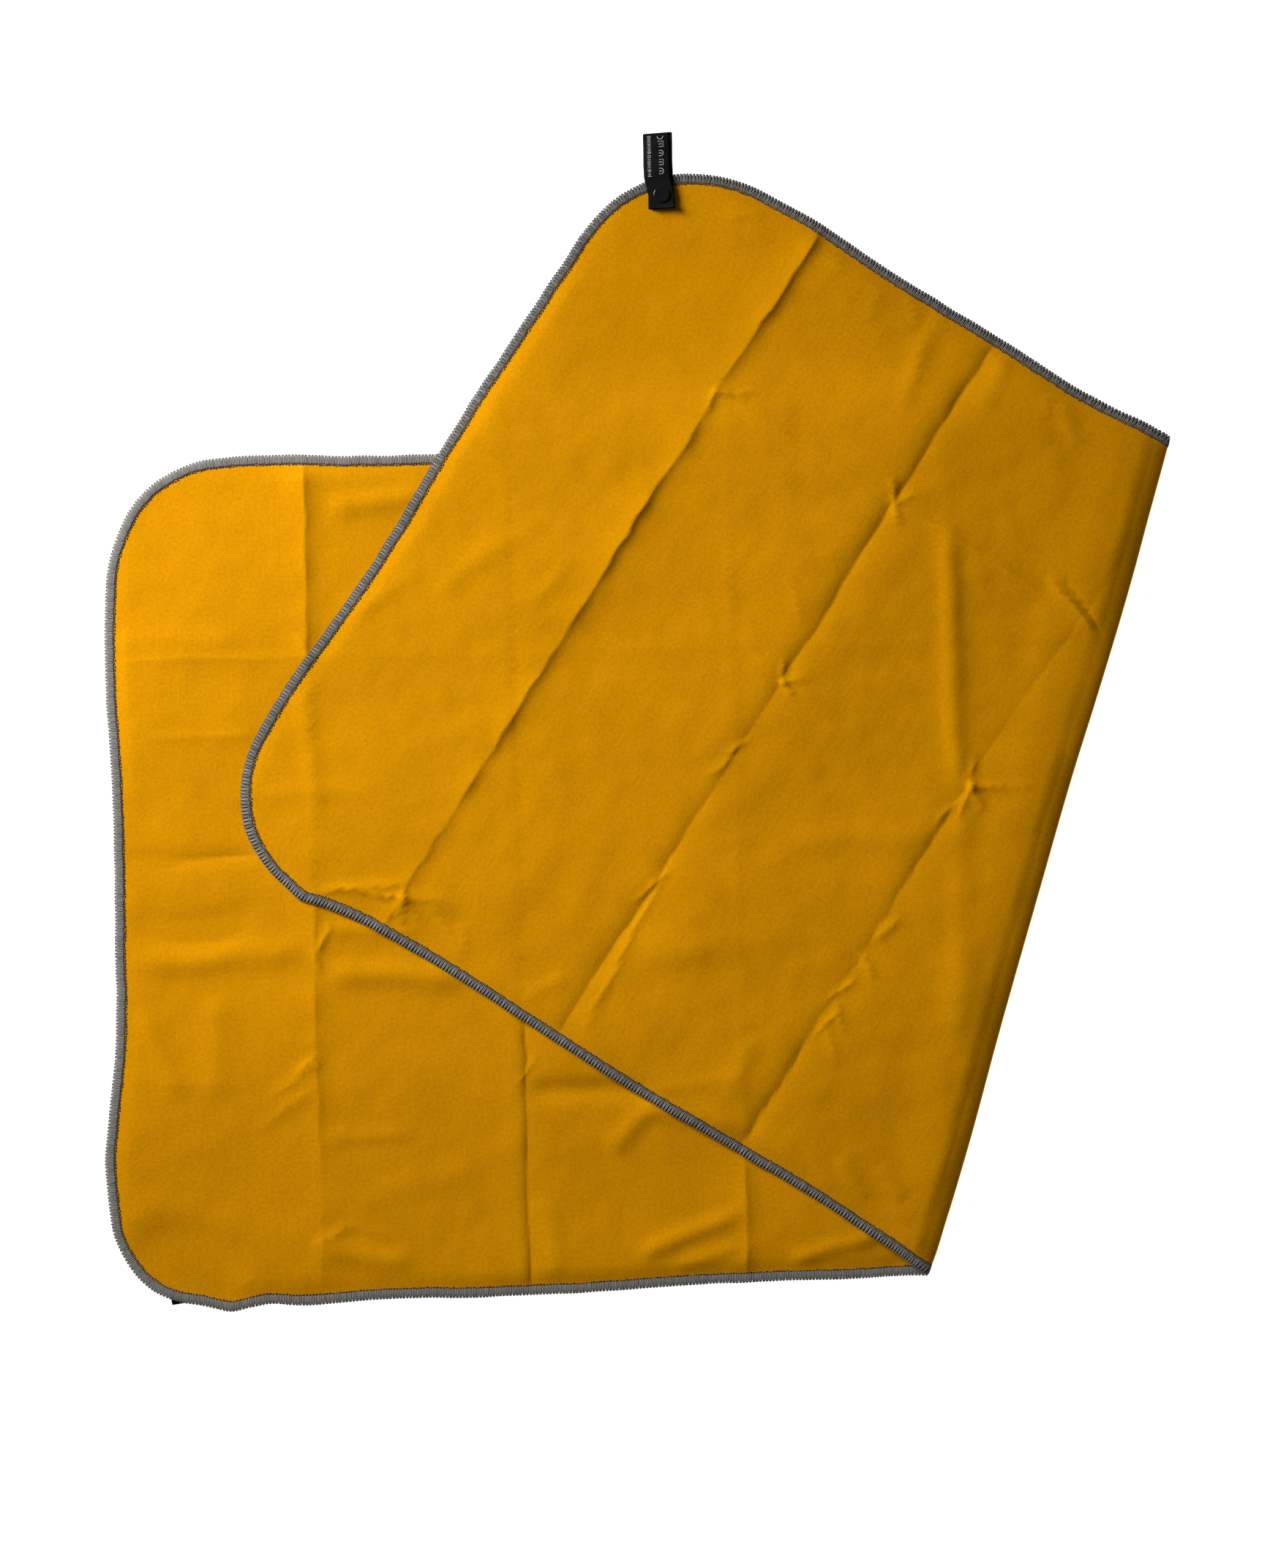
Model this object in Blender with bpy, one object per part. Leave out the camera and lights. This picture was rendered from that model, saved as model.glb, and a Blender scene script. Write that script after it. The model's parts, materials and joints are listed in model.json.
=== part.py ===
"""A quick-dry travel towel lying folded once across, with a snap hang loop at two opposite corners.

Towel frame: X runs along the lower long edge, Y across the towel, Z up from the table. The base layer
lies as it is drawn. The flap is drawn flat beyond the fold line and its hinge empty is turned half over,
so setting that empty's X rotation back to zero opens the towel out. Face A of the cloth is up on the base
layer, and the hang loops are sewn to face B.
"""

import math

import bmesh
import bpy
from mathutils import Matrix, Vector

MM = 0.001

# Cloth
TOWEL_LENGTH = 1200 * MM
TOWEL_WIDTH = 600 * MM
CLOTH = 0.8 * MM
BASE_NEAR_RADIUS = 55 * MM
BASE_FAR_RADIUS = 83 * MM
FLAP_NEAR_RADIUS = 72 * MM
FLAP_FAR_RADIUS = 102 * MM
ARC_STEPS = 8

# Fold: where it crosses the lower long edge, and its angle to that edge
FOLD_AT = 583 * MM
FOLD_SLANT = math.radians(73.2)

# Overlocked edging
EDGING_WIDTH = 6.2 * MM
THREAD = 0.35 * MM
NEEDLE_WIDTH = 0.8 * MM
CLEAR = 0.2 * MM

# Hang loops: distances along the tape are from the centre of the snap
TAPE_WIDTH = 18.4 * MM
TAPE = 0.4 * MM
TAB_END = 10 * MM
LOOP_REACH = 44.2 * MM
TURNED_REACH = 14.5 * MM
SNAP_INSET = 12.3 * MM
LOOP_1_SEAT = math.radians(42.3)
LOOP_1_TAPE = math.radians(53.4)
LOOP_2_SEAT = math.radians(252.9)
LOOP_2_TAPE = math.radians(278.1)
TACK_AT = 9.5 * MM
TACK_WIDTH = 14 * MM
TACK_LENGTH = 2.4 * MM
TACK = 0.3 * MM

# Snap
SNAP_RADIUS = 5.2 * MM
CAP_RADIUS = 5.8 * MM
CAP = 1.0 * MM
RIVET_HEAD = 0.5 * MM
STUD_FLANGE = 0.5 * MM
KNOB_RADIUS = 2.1 * MM
KNOB = 1.0 * MM
SOCKET = 1.3 * MM
SOCKET_ROOF = 0.3 * MM
POST_RADIUS = 0.8 * MM
SNAP_SEGMENTS = 20

# Heights in the towel frame, and the corner of the base that lies over the turned-under loop
CLOTH_UNDER = THREAD + CLEAR
CLOTH_OVER = CLOTH_UNDER + CLOTH
EDGING_TOP = CLOTH_OVER + CLEAR + THREAD
HINGE_HEIGHT = EDGING_TOP + CLEAR / 2
RAISED_REACH = 97 * MM
RAMP = 40 * MM

# Heights above face B in a loop's own frame
LEG_UNDER = CLEAR + RIVET_HEAD + CLEAR
LEG_OVER = LEG_UNDER + TAPE
STUD_UNDER = LEG_OVER + CLEAR
KNOB_TOP = STUD_UNDER + STUD_FLANGE + KNOB
SOCKET_UNDER = STUD_UNDER + STUD_FLANGE + CLEAR
CLOSED_LEVEL = SOCKET_UNDER + SOCKET + CLEAR
TURNED_LEVEL = KNOB_TOP + 3 * CLEAR
RAISED = TURNED_LEVEL + TAPE + CLEAR - CLOTH_UNDER
STOWED_LEVEL = RAISED + CLOTH_UNDER - CAP - CLEAR - TAPE

CLOTH_YELLOW = (0.80, 0.42, 0.01)
EDGING_GREY = (0.17, 0.165, 0.16)
TAPE_BLACK = (0.012, 0.012, 0.013)
SNAP_BLACK = (0.02, 0.02, 0.021)
TACK_BLACK = (0.03, 0.03, 0.032)


def clear_scene():
    for obj in list(bpy.data.objects):
        bpy.data.objects.remove(obj, do_unlink=True)


def finish(name, colour, roughness):
    """The named Principled material, made the first time it is asked for."""
    material = bpy.data.materials.get(name)
    if material:
        return material
    material = bpy.data.materials.new(name)
    material.use_nodes = True
    shader = material.node_tree.nodes["Principled BSDF"]
    shader.inputs["Base Color"].default_value = (*colour, 1)
    shader.inputs["Roughness"].default_value = roughness
    shader.inputs["Metallic"].default_value = 0
    return material


def cloth_finish():
    return finish("cloth", CLOTH_YELLOW, 0.95)


def edging_finish():
    return finish("edging_thread", EDGING_GREY, 0.85)


def tape_finish():
    return finish("label_tape", TAPE_BLACK, 0.75)


def snap_finish():
    return finish("snap_plastic", SNAP_BLACK, 0.3)


def tack_finish():
    return finish("tack_thread", TACK_BLACK, 0.8)


def add_object(name, bm, material, parent, smooth=False):
    """A finished bmesh as an object under its parent, with its faces pointing out."""
    bmesh.ops.recalc_face_normals(bm, faces=bm.faces)
    mesh = bpy.data.meshes.new(name)
    for face in bm.faces:
        face.smooth = smooth
    bm.to_mesh(mesh)
    bm.free()
    mesh.materials.append(material)
    obj = bpy.data.objects.new(name, mesh)
    obj.parent = parent
    bpy.context.scene.collection.objects.link(obj)
    return obj


def add_empty(name, parent, place):
    empty = bpy.data.objects.new(name, None)
    empty.parent = parent
    empty.matrix_local = place
    bpy.context.scene.collection.objects.link(empty)
    return empty


# --- Cloth and edging -------------------------------------------------------------------------------


def arc(centre, radius, start, end):
    """Points from one angle to another, in degrees, both ends included."""
    points = []
    for step in range(ARC_STEPS + 1):
        angle = math.radians(start + (end - start) * step / ARC_STEPS)
        points.append((centre[0] + radius * math.cos(angle), centre[1] + radius * math.sin(angle)))
    return points


def fold_x(y, side):
    """Where a layer ends at the fold, half a clearance short of the fold line."""
    return FOLD_AT + y / math.tan(FOLD_SLANT) + side * CLEAR / 2 / math.sin(FOLD_SLANT)


def outline(side, inset):
    """The towel's edge on one side of the fold (-1 base, 1 flap), from its near end to its far end."""
    near = (fold_x(inset, side), inset)
    far = (fold_x(TOWEL_WIDTH - inset, side), TOWEL_WIDTH - inset)
    if side < 0:
        near_centre = (BASE_NEAR_RADIUS, BASE_NEAR_RADIUS)
        far_centre = (BASE_FAR_RADIUS, TOWEL_WIDTH - BASE_FAR_RADIUS)
        near_arc = arc(near_centre, BASE_NEAR_RADIUS - inset, 270, 180)
        far_arc = arc(far_centre, BASE_FAR_RADIUS - inset, 180, 90)
    else:
        near_centre = (TOWEL_LENGTH - FLAP_NEAR_RADIUS, FLAP_NEAR_RADIUS)
        far_centre = (TOWEL_LENGTH - FLAP_FAR_RADIUS, TOWEL_WIDTH - FLAP_FAR_RADIUS)
        near_arc = arc(near_centre, FLAP_NEAR_RADIUS - inset, -90, 0)
        far_arc = arc(far_centre, FLAP_FAR_RADIUS - inset, 0, 90)
    return [near, *near_arc, *far_arc, far]


def raise_corner(bm):
    """Lifts the base's near corner over the loop beneath it: a level patch and a ramp."""
    diagonal = Vector((1, 1, 0)).normalized()
    for reach in (RAISED_REACH, RAISED_REACH + RAMP):
        geometry = list(bm.verts) + list(bm.edges) + list(bm.faces)
        bmesh.ops.bisect_plane(bm, geom=geometry, plane_co=diagonal * reach, plane_no=diagonal)
    for vert in bm.verts:
        past = (RAISED_REACH + RAMP - vert.co.dot(diagonal)) / RAMP
        vert.co.z += RAISED * min(max(past, 0), 1)


def place_layer(name, bm, side, material, parents):
    """Puts a layer drawn in the towel frame under the base, or under the flap's hinge."""
    if side < 0:
        raise_corner(bm)
        return add_object(name + "_base", bm, material, parents[side])
    bm.transform(fold_frame().inverted())
    return add_object(name + "_flap", bm, material, parents[side])


def add_plate(name, side, inset, bottom, top, material, parents):
    """A flat layer inside the towel's edge."""
    bm = bmesh.new()
    corners = outline(side, inset)
    face = bm.faces.new([bm.verts.new((x, y, bottom)) for x, y in corners])
    grown = bmesh.ops.extrude_face_region(bm, geom=[face])["geom"]
    tops = [item for item in grown if isinstance(item, bmesh.types.BMVert)]
    bmesh.ops.translate(bm, verts=tops, vec=(0, 0, top - bottom))
    return place_layer(name, bm, side, material, parents)


def add_band(name, side, profile, material, parents):
    """A band that follows the towel's edge: profile holds (inset, height) points in order."""
    bm = bmesh.new()
    rows = [[bm.verts.new((x, y, height)) for x, y in outline(side, inset)] for inset, height in profile]
    for row, after in zip(rows, rows[1:] + rows[:1]):
        for i in range(len(row) - 1):
            bm.faces.new((row[i], row[i + 1], after[i + 1], after[i]))
    bm.faces.new([row[0] for row in rows])
    bm.faces.new([row[-1] for row in rows])
    return place_layer(name, bm, side, material, parents)


def add_layer(side, parents):
    """One half of the towel: the cloth and the three overlock threads round its edge."""
    wall = THREAD
    middle = EDGING_TOP / 2
    cloth_edge = THREAD + CLEAR
    add_plate("cloth", side, cloth_edge, CLOTH_UNDER, CLOTH_OVER, cloth_finish(), parents)
    upper = [
        (0, middle + CLEAR / 2),
        (wall, middle + CLEAR / 2),
        (wall, EDGING_TOP - THREAD),
        (EDGING_WIDTH, EDGING_TOP - THREAD),
        (EDGING_WIDTH, EDGING_TOP),
        (0, EDGING_TOP),
    ]
    lower = [(inset, EDGING_TOP - height) for inset, height in upper]
    add_band("upper_looper", side, upper, edging_finish(), parents)
    add_band("lower_looper", side, lower, edging_finish(), parents)
    needle_in = EDGING_WIDTH + CLEAR
    needle = [
        (needle_in, EDGING_TOP - THREAD),
        (needle_in + NEEDLE_WIDTH, EDGING_TOP - THREAD),
        (needle_in + NEEDLE_WIDTH, EDGING_TOP),
        (needle_in, EDGING_TOP),
    ]
    add_band("needle_thread", side, needle, edging_finish(), parents)


def fold_frame():
    """The fold line's frame: X along the fold from the near edge, Z up, at the hinge's height."""
    return Matrix.Translation((FOLD_AT, 0, HINGE_HEIGHT)) @ Matrix.Rotation(FOLD_SLANT, 4, "Z")


# --- Hang loops -------------------------------------------------------------------------------------


def loop_frame(corner_centre, corner_radius, seat_angle, tape_angle, face_height):
    """A loop's frame on face B: Y along the tape to its turn, Z away from the cloth."""
    seat = corner_radius - SNAP_INSET
    along = Vector((math.cos(tape_angle), math.sin(tape_angle), 0))
    away = Vector((0, 0, -1))
    across = along.cross(away)
    frame = Matrix((across, along, away)).transposed().to_4x4()
    frame.translation = (
        corner_centre[0] + seat * math.cos(seat_angle),
        corner_centre[1] + seat * math.sin(seat_angle),
        face_height,
    )
    return frame


def add_strip(name, path, thickness, width, parent, material, hole_at=None):
    """A strip of tape: path holds (y, z) points of its under side, and the strip spans X evenly."""
    bm = bmesh.new()
    side_view = list(path) + [(y, z + thickness) for y, z in reversed(path)]
    face = bm.faces.new([bm.verts.new((-width / 2, y, z)) for y, z in side_view])
    grown = bmesh.ops.extrude_face_region(bm, geom=[face])["geom"]
    ends = [item for item in grown if isinstance(item, bmesh.types.BMVert)]
    bmesh.ops.translate(bm, verts=ends, vec=(width, 0, 0))
    strip = add_object(name, bm, material, parent)
    if hole_at is not None:
        cut_hole(strip, hole_at)
    return strip


def cut_hole(strip, at_y):
    """Pierces a strip for a snap's post."""
    bm = bmesh.new()
    radius = POST_RADIUS + CLEAR
    bmesh.ops.create_cone(
        bm, cap_ends=True, segments=SNAP_SEGMENTS // 2, radius1=radius, radius2=radius, depth=10 * LEG_OVER
    )
    bmesh.ops.translate(bm, verts=bm.verts, vec=(0, at_y, 0))
    cutter = add_object(strip.name + "_cutter", bm, tape_finish(), strip)
    cutter.hide_render = True
    cutter.display_type = "WIRE"
    boolean = strip.modifiers.new("post_hole", "BOOLEAN")
    boolean.operation = "DIFFERENCE"
    boolean.solver = "EXACT"
    boolean.object = cutter


def add_turned(name, profile, at_y, parent, closed=False):
    """A turned piece about Z: profile holds (radius, z) points, and a ring's profile is closed."""
    bm = bmesh.new()
    verts = [bm.verts.new((radius, 0, z)) for radius, z in profile]
    pairs = list(zip(verts, verts[1:] + verts[:1]))
    if not closed:
        pairs = pairs[:-1]
    edges = [bm.edges.new(pair) for pair in pairs]
    bmesh.ops.spin(
        bm, geom=verts + edges, cent=(0, 0, 0), axis=(0, 0, 1), angle=math.tau, steps=SNAP_SEGMENTS
    )
    bmesh.ops.remove_doubles(bm, verts=bm.verts, dist=MM / 1000)
    bmesh.ops.translate(bm, verts=bm.verts, vec=(0, at_y, 0))
    return add_object(name, bm, snap_finish(), parent, smooth=True)


def add_stud(name, parent):
    """The rivet under the sewn leg and the stud that it holds on top of the leg."""
    post_top = STUD_UNDER + STUD_FLANGE + CLEAR
    rivet = [
        (0, CLEAR),
        (SNAP_RADIUS, CLEAR),
        (SNAP_RADIUS, CLEAR + RIVET_HEAD),
        (POST_RADIUS, CLEAR + RIVET_HEAD),
        (POST_RADIUS, post_top),
        (0, post_top),
    ]
    add_turned(name + "_stud_rivet", rivet, 0, parent)
    bore = POST_RADIUS + CLEAR
    flange_top = STUD_UNDER + STUD_FLANGE
    stud = [
        (0, post_top + CLEAR),
        (bore, post_top + CLEAR),
        (bore, STUD_UNDER),
        (SNAP_RADIUS, STUD_UNDER),
        (SNAP_RADIUS, flange_top),
        (KNOB_RADIUS * 0.9, flange_top),
        (KNOB_RADIUS, flange_top + KNOB * 0.6),
        (KNOB_RADIUS * 0.85, KNOB_TOP),
        (0, KNOB_TOP),
    ]
    add_turned(name + "_stud", stud, 0, parent)


def add_socket_and_cap(name, at_y, level, parent):
    """The socket under the free leg and the cap whose post holds it, level being the leg's under side."""
    bore = POST_RADIUS + CLEAR
    top = level - CLEAR
    bottom = top - SOCKET
    cavity = KNOB_RADIUS + CLEAR
    socket = [
        (cavity, bottom),
        (SNAP_RADIUS, bottom),
        (SNAP_RADIUS, top - SOCKET / 3),
        (SNAP_RADIUS * 0.9, top),
        (bore, top),
        (bore, top - SOCKET_ROOF),
        (cavity, top - SOCKET_ROOF),
    ]
    add_turned(name + "_socket", socket, at_y, parent, closed=True)
    under = level + TAPE + CLEAR
    cap = [
        (0, top - SOCKET_ROOF / 2),
        (POST_RADIUS, top - SOCKET_ROOF / 2),
        (POST_RADIUS, under),
        (CAP_RADIUS, under),
        (CAP_RADIUS, under + CAP * 0.35),
        (CAP_RADIUS * 0.92, under + CAP * 0.7),
        (CAP_RADIUS * 0.65, under + CAP * 0.95),
        (0, under + CAP),
    ]
    add_turned(name + "_cap", cap, at_y, parent)


def add_loop(name, frame, parent, turn_y, turn_level, snap_y, snap_level):
    """A hang loop: the leg sewn to the hem, and the free leg that swings about the tape's turn."""
    seat = add_empty(name + "_seat", parent, frame)
    sewn = [(-TAB_END, LEG_UNDER), (turn_y, LEG_UNDER)]
    add_strip(name + "_sewn_leg", sewn, TAPE, TAPE_WIDTH, seat, tape_finish(), hole_at=0)
    tack_under = LEG_OVER + CLEAR
    tack = [(TACK_AT - TACK_LENGTH / 2, tack_under), (TACK_AT + TACK_LENGTH / 2, tack_under)]
    add_strip(name + "_bar_tack", tack, TACK, TACK_WIDTH, seat, tack_finish())
    add_stud(name, seat)
    axis_y = turn_y + CLEAR / 2
    axis_z = (LEG_UNDER + turn_level + TAPE) / 2
    hinge = add_empty(name + "_turn", seat, Matrix.Translation((0, axis_y, axis_z)))
    level_from = snap_y + CAP_RADIUS + CLEAR
    free = [
        (turn_y - axis_y, turn_level - axis_z),
        (level_from - axis_y, snap_level - axis_z),
        (snap_y - TAB_END - axis_y, snap_level - axis_z),
    ]
    snap_from_hinge = snap_y - axis_y
    add_strip(name + "_free_leg", free, TAPE, TAPE_WIDTH, hinge, tape_finish(), hole_at=snap_from_hinge)
    add_socket_and_cap(name, snap_from_hinge, snap_level - axis_z, hinge)


def add_loops(parents):
    """Loop 1 stands out from the flap's far corner, snapped shut; loop 2 is turned under the base."""
    far_corner = (TOWEL_LENGTH - FLAP_FAR_RADIUS, TOWEL_WIDTH - FLAP_FAR_RADIUS)
    on_flap = loop_frame(far_corner, FLAP_FAR_RADIUS, LOOP_1_SEAT, LOOP_1_TAPE, CLOTH_UNDER)
    on_flap = fold_frame().inverted() @ on_flap
    add_loop("loop_1", on_flap, parents[1], LOOP_REACH, LEG_OVER + CLEAR, 0, CLOSED_LEVEL)
    near_corner = (BASE_NEAR_RADIUS, BASE_NEAR_RADIUS)
    face = CLOTH_UNDER + RAISED
    on_base = loop_frame(near_corner, BASE_NEAR_RADIUS, LOOP_2_SEAT, LOOP_2_TAPE, face)
    stowed_snap = TURNED_REACH - (2 * LOOP_REACH - TURNED_REACH)
    add_loop("loop_2", on_base, parents[-1], TURNED_REACH, TURNED_LEVEL, stowed_snap, STOWED_LEVEL)


# --- The whole towel --------------------------------------------------------------------------------


def centre_on_origin(table):
    """Moves everything so that the middle of the box it fills stands on the origin."""
    bpy.context.view_layer.update()
    corners = []
    for obj in bpy.data.objects:
        if obj.type == "MESH" and not obj.hide_render:
            corners += [obj.matrix_world @ vert.co for vert in obj.data.vertices]
    low = [min(corner[i] for corner in corners) for i in range(3)]
    high = [max(corner[i] for corner in corners) for i in range(3)]
    table.location = (-(low[0] + high[0]) / 2, -(low[1] + high[1]) / 2, -low[2])


def main():
    clear_scene()
    table = add_empty("table", None, Matrix())
    flap_hinge = add_empty("flap_hinge", table, fold_frame() @ Matrix.Rotation(math.pi, 4, "X"))
    parents = {-1: table, 1: flap_hinge}
    for side in (-1, 1):
        add_layer(side, parents)
    add_loops(parents)
    centre_on_origin(table)


main()
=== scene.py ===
"""A quick-dry travel towel lying folded once across, with a snap hang loop at two opposite corners.

The cloth, its overlocked edging and the loops' seats are all laid by one rule, lay(), which says where a
point of the cut cloth lies. Everything is in metres. The cloth's own frame is (u, v): u along the long
edge and v across it, with the base layer's near corner at the origin and face A up on the base layer.
"""

import json
import math

import bmesh
import bpy
import numpy as np
from mathutils import Matrix, Vector


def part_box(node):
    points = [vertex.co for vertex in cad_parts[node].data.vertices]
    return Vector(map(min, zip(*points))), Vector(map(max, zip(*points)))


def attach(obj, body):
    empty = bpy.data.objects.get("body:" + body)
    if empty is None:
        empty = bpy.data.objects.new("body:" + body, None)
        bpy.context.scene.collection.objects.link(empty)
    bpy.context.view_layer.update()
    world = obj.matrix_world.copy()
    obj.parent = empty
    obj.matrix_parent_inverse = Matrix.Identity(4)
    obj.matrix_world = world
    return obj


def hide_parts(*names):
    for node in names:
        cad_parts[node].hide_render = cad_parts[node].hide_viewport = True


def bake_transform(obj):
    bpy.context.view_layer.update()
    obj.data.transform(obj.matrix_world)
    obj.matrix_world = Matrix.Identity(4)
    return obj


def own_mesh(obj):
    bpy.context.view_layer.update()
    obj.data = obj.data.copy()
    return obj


MM = 0.001

# Cloth, as it is cut
TOWEL_LENGTH = 1200 * MM
TOWEL_WIDTH = 600 * MM
CLOTH = 0.8 * MM
BASE_NEAR_RADIUS = 55 * MM
BASE_FAR_RADIUS = 83 * MM
FLAP_NEAR_RADIUS = 72 * MM
FLAP_FAR_RADIUS = 102 * MM
CLOTH_INSET = 1.3 * MM
CLOTH_MID = 0.95 * MM

# Packing creases, across and along the towel
BASE_CREASES = (0.145, 0.294, 0.45)
FLAP_CREASES = (0.752, 0.905, 1.055)
LONG_CREASES = (0.155, 0.312, 0.461)

# Overlock stitches
STITCH = 2.4 * MM
LATTICE_STEP = 1.2 * MM
LATTICE_INSETS = (-1.2, -0.4, 0.4, 2.4, 4.8, 7.2)

# Tape, snaps, and the corner that lies over the turned-under loop
TAPE_WIDTH = 18.4 * MM
TAPE = 0.4 * MM
TAB_END = 10 * MM
CLEAR = 0.2 * MM
SNAP_RADIUS = 5.2 * MM
CAP_RADIUS = 5.8 * MM
CAP = 1.0 * MM
FLANGE = 0.5 * MM
POST = 0.8 * MM
RAISED = 3.65 * MM
RAISED_REACH = 97 * MM
RAMP = 40 * MM

# How far a closed loop's legs stray sideways at places along them, in millimetres
FREE_SLIDE = (
    (-12, -1.1), (0, -0.4), (7, -1.6), (13, -2.5), (22, -2.3), (34, -1.4), (44.4, -0.9), (48, -0.9),
)
SEWN_SLIDE = ((-12, 0), (10, 0), (25, 0.5), (44.4, 1.9), (48, 2.0))
STRAIGHT = ((-100, 0), (60, 0))

# The soft roll of the cloth over the fold, and how far from it the cloth lies as if unfolded
ROLL_WIDE = 10 * MM
ROLL_HIGH = 2.8 * MM
ROLL_LENGTH = 11.1 * MM
ROLL_FALL = 55 * MM
FOLD_EASE = 60 * MM
BASE_SETTLE = 45 * MM
FLAP_SETTLE = 50 * MM
RELIEF_START = 22 * MM

# The cloth's grid: where its columns stop following the hems and turn towards the slanting fold
BASE_STRAIGHT = 0.47
FLAP_STRAIGHT = 0.86
FINE_COLUMN = 1.3 * MM
COARSE_COLUMN = 4.2 * MM

# The flap: how much of the base's relief it follows, its height off the table, and its fall past the base
FOLLOW = 0.75
OFF_TABLE = 0.1 * MM
BASE_FALL = 75 * MM

# Round each loop's seat: how far the cloth lies flat, and over what width its relief comes back
LOOP_1_SEAT = (12 * MM, 45 * MM)
LOOP_2_SEAT = (24 * MM, 40 * MM)

# How far a hem's creep reaches into the cloth, and how wide its flatter border is
CREEP_REACH = 70 * MM
NEAR_CREEP_REACH = 45 * MM
HEM_BORDER = 20 * MM
HEM_SHARE = 0.35


def smooth(x):
    """A soft step from 0 to 1."""
    x = np.clip(x, 0, 1)
    return x * x * x * (x * (6 * x - 15) + 10)


def fade(distance, reach):
    """1 at an edge, softly down to 0 at reach."""
    return 1 - smooth(np.abs(distance) / reach)


def drift(x, y, size, seed):
    """Seeded soft noise from -1 to 1 whose lumps are about one size across."""
    table = np.random.RandomState(seed).uniform(-1, 1, (64, 64))
    gx, gy = x / size + 200, y / size + 200
    ix, iy = np.floor(gx).astype(int), np.floor(gy).astype(int)
    fx, fy = smooth(gx - ix), smooth(gy - iy)
    near = table[ix % 64, iy % 64] * (1 - fx) + table[(ix + 1) % 64, iy % 64] * fx
    far = table[ix % 64, (iy + 1) % 64] * (1 - fx) + table[(ix + 1) % 64, (iy + 1) % 64] * fx
    return near * (1 - fy) + far * fy


def through(x, stops):
    """A smooth curve through (place, millimetres) stops, in metres."""
    places = np.array([place for place, _ in stops])
    values = np.array([value for _, value in stops]) * MM
    slopes = np.gradient(values, places)
    x = np.clip(x, places[0], places[-1])
    i = np.clip(np.searchsorted(places, x) - 1, 0, len(places) - 2)
    span = places[i + 1] - places[i]
    t = (x - places[i]) / span
    rise = (2 * t**3 - 3 * t**2 + 1) * values[i] + (3 * t**2 - 2 * t**3) * values[i + 1]
    return rise + (t**3 - 2 * t**2 + t) * span * slopes[i] + (t**3 - t**2) * span * slopes[i + 1]


# --- The frame the towel is laid in ---

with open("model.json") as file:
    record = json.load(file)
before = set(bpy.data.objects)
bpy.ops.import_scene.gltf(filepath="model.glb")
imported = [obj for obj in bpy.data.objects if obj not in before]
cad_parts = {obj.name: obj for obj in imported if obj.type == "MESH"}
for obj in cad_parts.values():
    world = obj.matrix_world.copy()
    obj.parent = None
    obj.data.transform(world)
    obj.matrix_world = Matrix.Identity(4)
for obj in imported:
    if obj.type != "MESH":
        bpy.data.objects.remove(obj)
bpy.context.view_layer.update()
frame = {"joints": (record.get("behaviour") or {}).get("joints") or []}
joints = {joint["name"]: joint for joint in frame["joints"]}
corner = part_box("lower_looper_base")[0]
hinge_at = Vector(joints["towel_fold"]["pos_m"])
fold_way = Vector(joints["towel_fold"]["axis"]).normalized()
fold_out = Vector((fold_way.y, -fold_way.x, 0))
FOLD_U = hinge_at.x - corner.x
FOLD_LENGTH = TOWEL_WIDTH / fold_way.y
BEND = hinge_at.z - CLOTH_MID
BEND_HALF = math.pi * BEND / 2
LIFT_OVER_BASE = 2 * BEND


def loop_frame(name, joint, up):
    """A loop's own frame: X across the tape, Y along it to its turn, Z away from the cloth's face B."""
    across = -Vector(joints[joint]["axis"]).normalized()
    away = Vector((0, 0, up))
    along = away.cross(across)
    low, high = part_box(name + "_stud_rivet")
    face = low.z - CLEAR if up > 0 else high.z + CLEAR
    seat = (low + high) / 2
    place = Matrix((across, along, away)).transposed().to_4x4()
    place.translation = (seat.x, seat.y, face)
    return place


LOOP_1 = loop_frame("loop_1", "loop_1_unsnap", 1)
LOOP_2 = loop_frame("loop_2", "loop_2_swing_out", -1)


def level_in(place, joint):
    """A joint's axis in a loop's frame, as its place along the tape and its height."""
    at = place.inverted() @ Vector(joints[joint]["pos_m"])
    return at.y, at.z


# --- How the cloth lies ---

# How far each edge has crept outwards, in millimetres, at places along it in metres
NEAR_EDGE = (
    (0.0, 2.5), (0.035, 1.8), (0.055, 2.4), (0.066, 5.4), (0.079, 8.2), (0.092, 5.6), (0.107, 3.1),
    (0.125, 4.4), (0.15, 4.0), (0.18, 2.2), (0.26, 2.5), (0.34, 0.8), (0.42, -2.8), (0.5, -3.9),
    (0.56, -4.0), (0.6, -3.6), (0.68, -6.0), (0.76, -4.2), (0.84, -1.9), (0.92, -2.6), (1.04, -2.1),
    (1.08, 1.1), (1.1, 5.0), (1.117, 8.6), (1.126, 7.0), (1.15, 4.2), (1.2, 2.6),
)
FAR_EDGE = (
    (0.0, 1.5), (0.06, 3.6), (0.1, 6.3), (0.14, 6.4), (0.18, 4.6), (0.24, 4.3), (0.5, 2.5), (0.66, 2.2),
    (0.72, 3.2), (0.78, 3.2), (0.82, 0.2), (0.9, 0.4), (1.02, 0.2), (1.06, 1.5), (1.1, -0.8), (1.2, 0.6),
)
SIDE_EDGE = (
    (0.0, 0.6), (0.03, 2.2), (0.06, 6.2), (0.1, 9.0), (0.14, 4.8), (0.18, 0.3), (0.26, -1.5), (0.38, -1.7),
    (0.46, 1.0), (0.5, -0.2), (0.54, -2.8), (0.6, -0.4),
)
SHORT_EDGE = (
    (0.0, 3.6), (0.05, 2.6), (0.09, 4.4), (0.13, 4.2), (0.17, 1.3), (0.25, -1.2), (0.33, 1.0), (0.45, -0.8),
    (0.5, -2.0), (0.55, -0.4), (0.6, 0.2),
)
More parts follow.
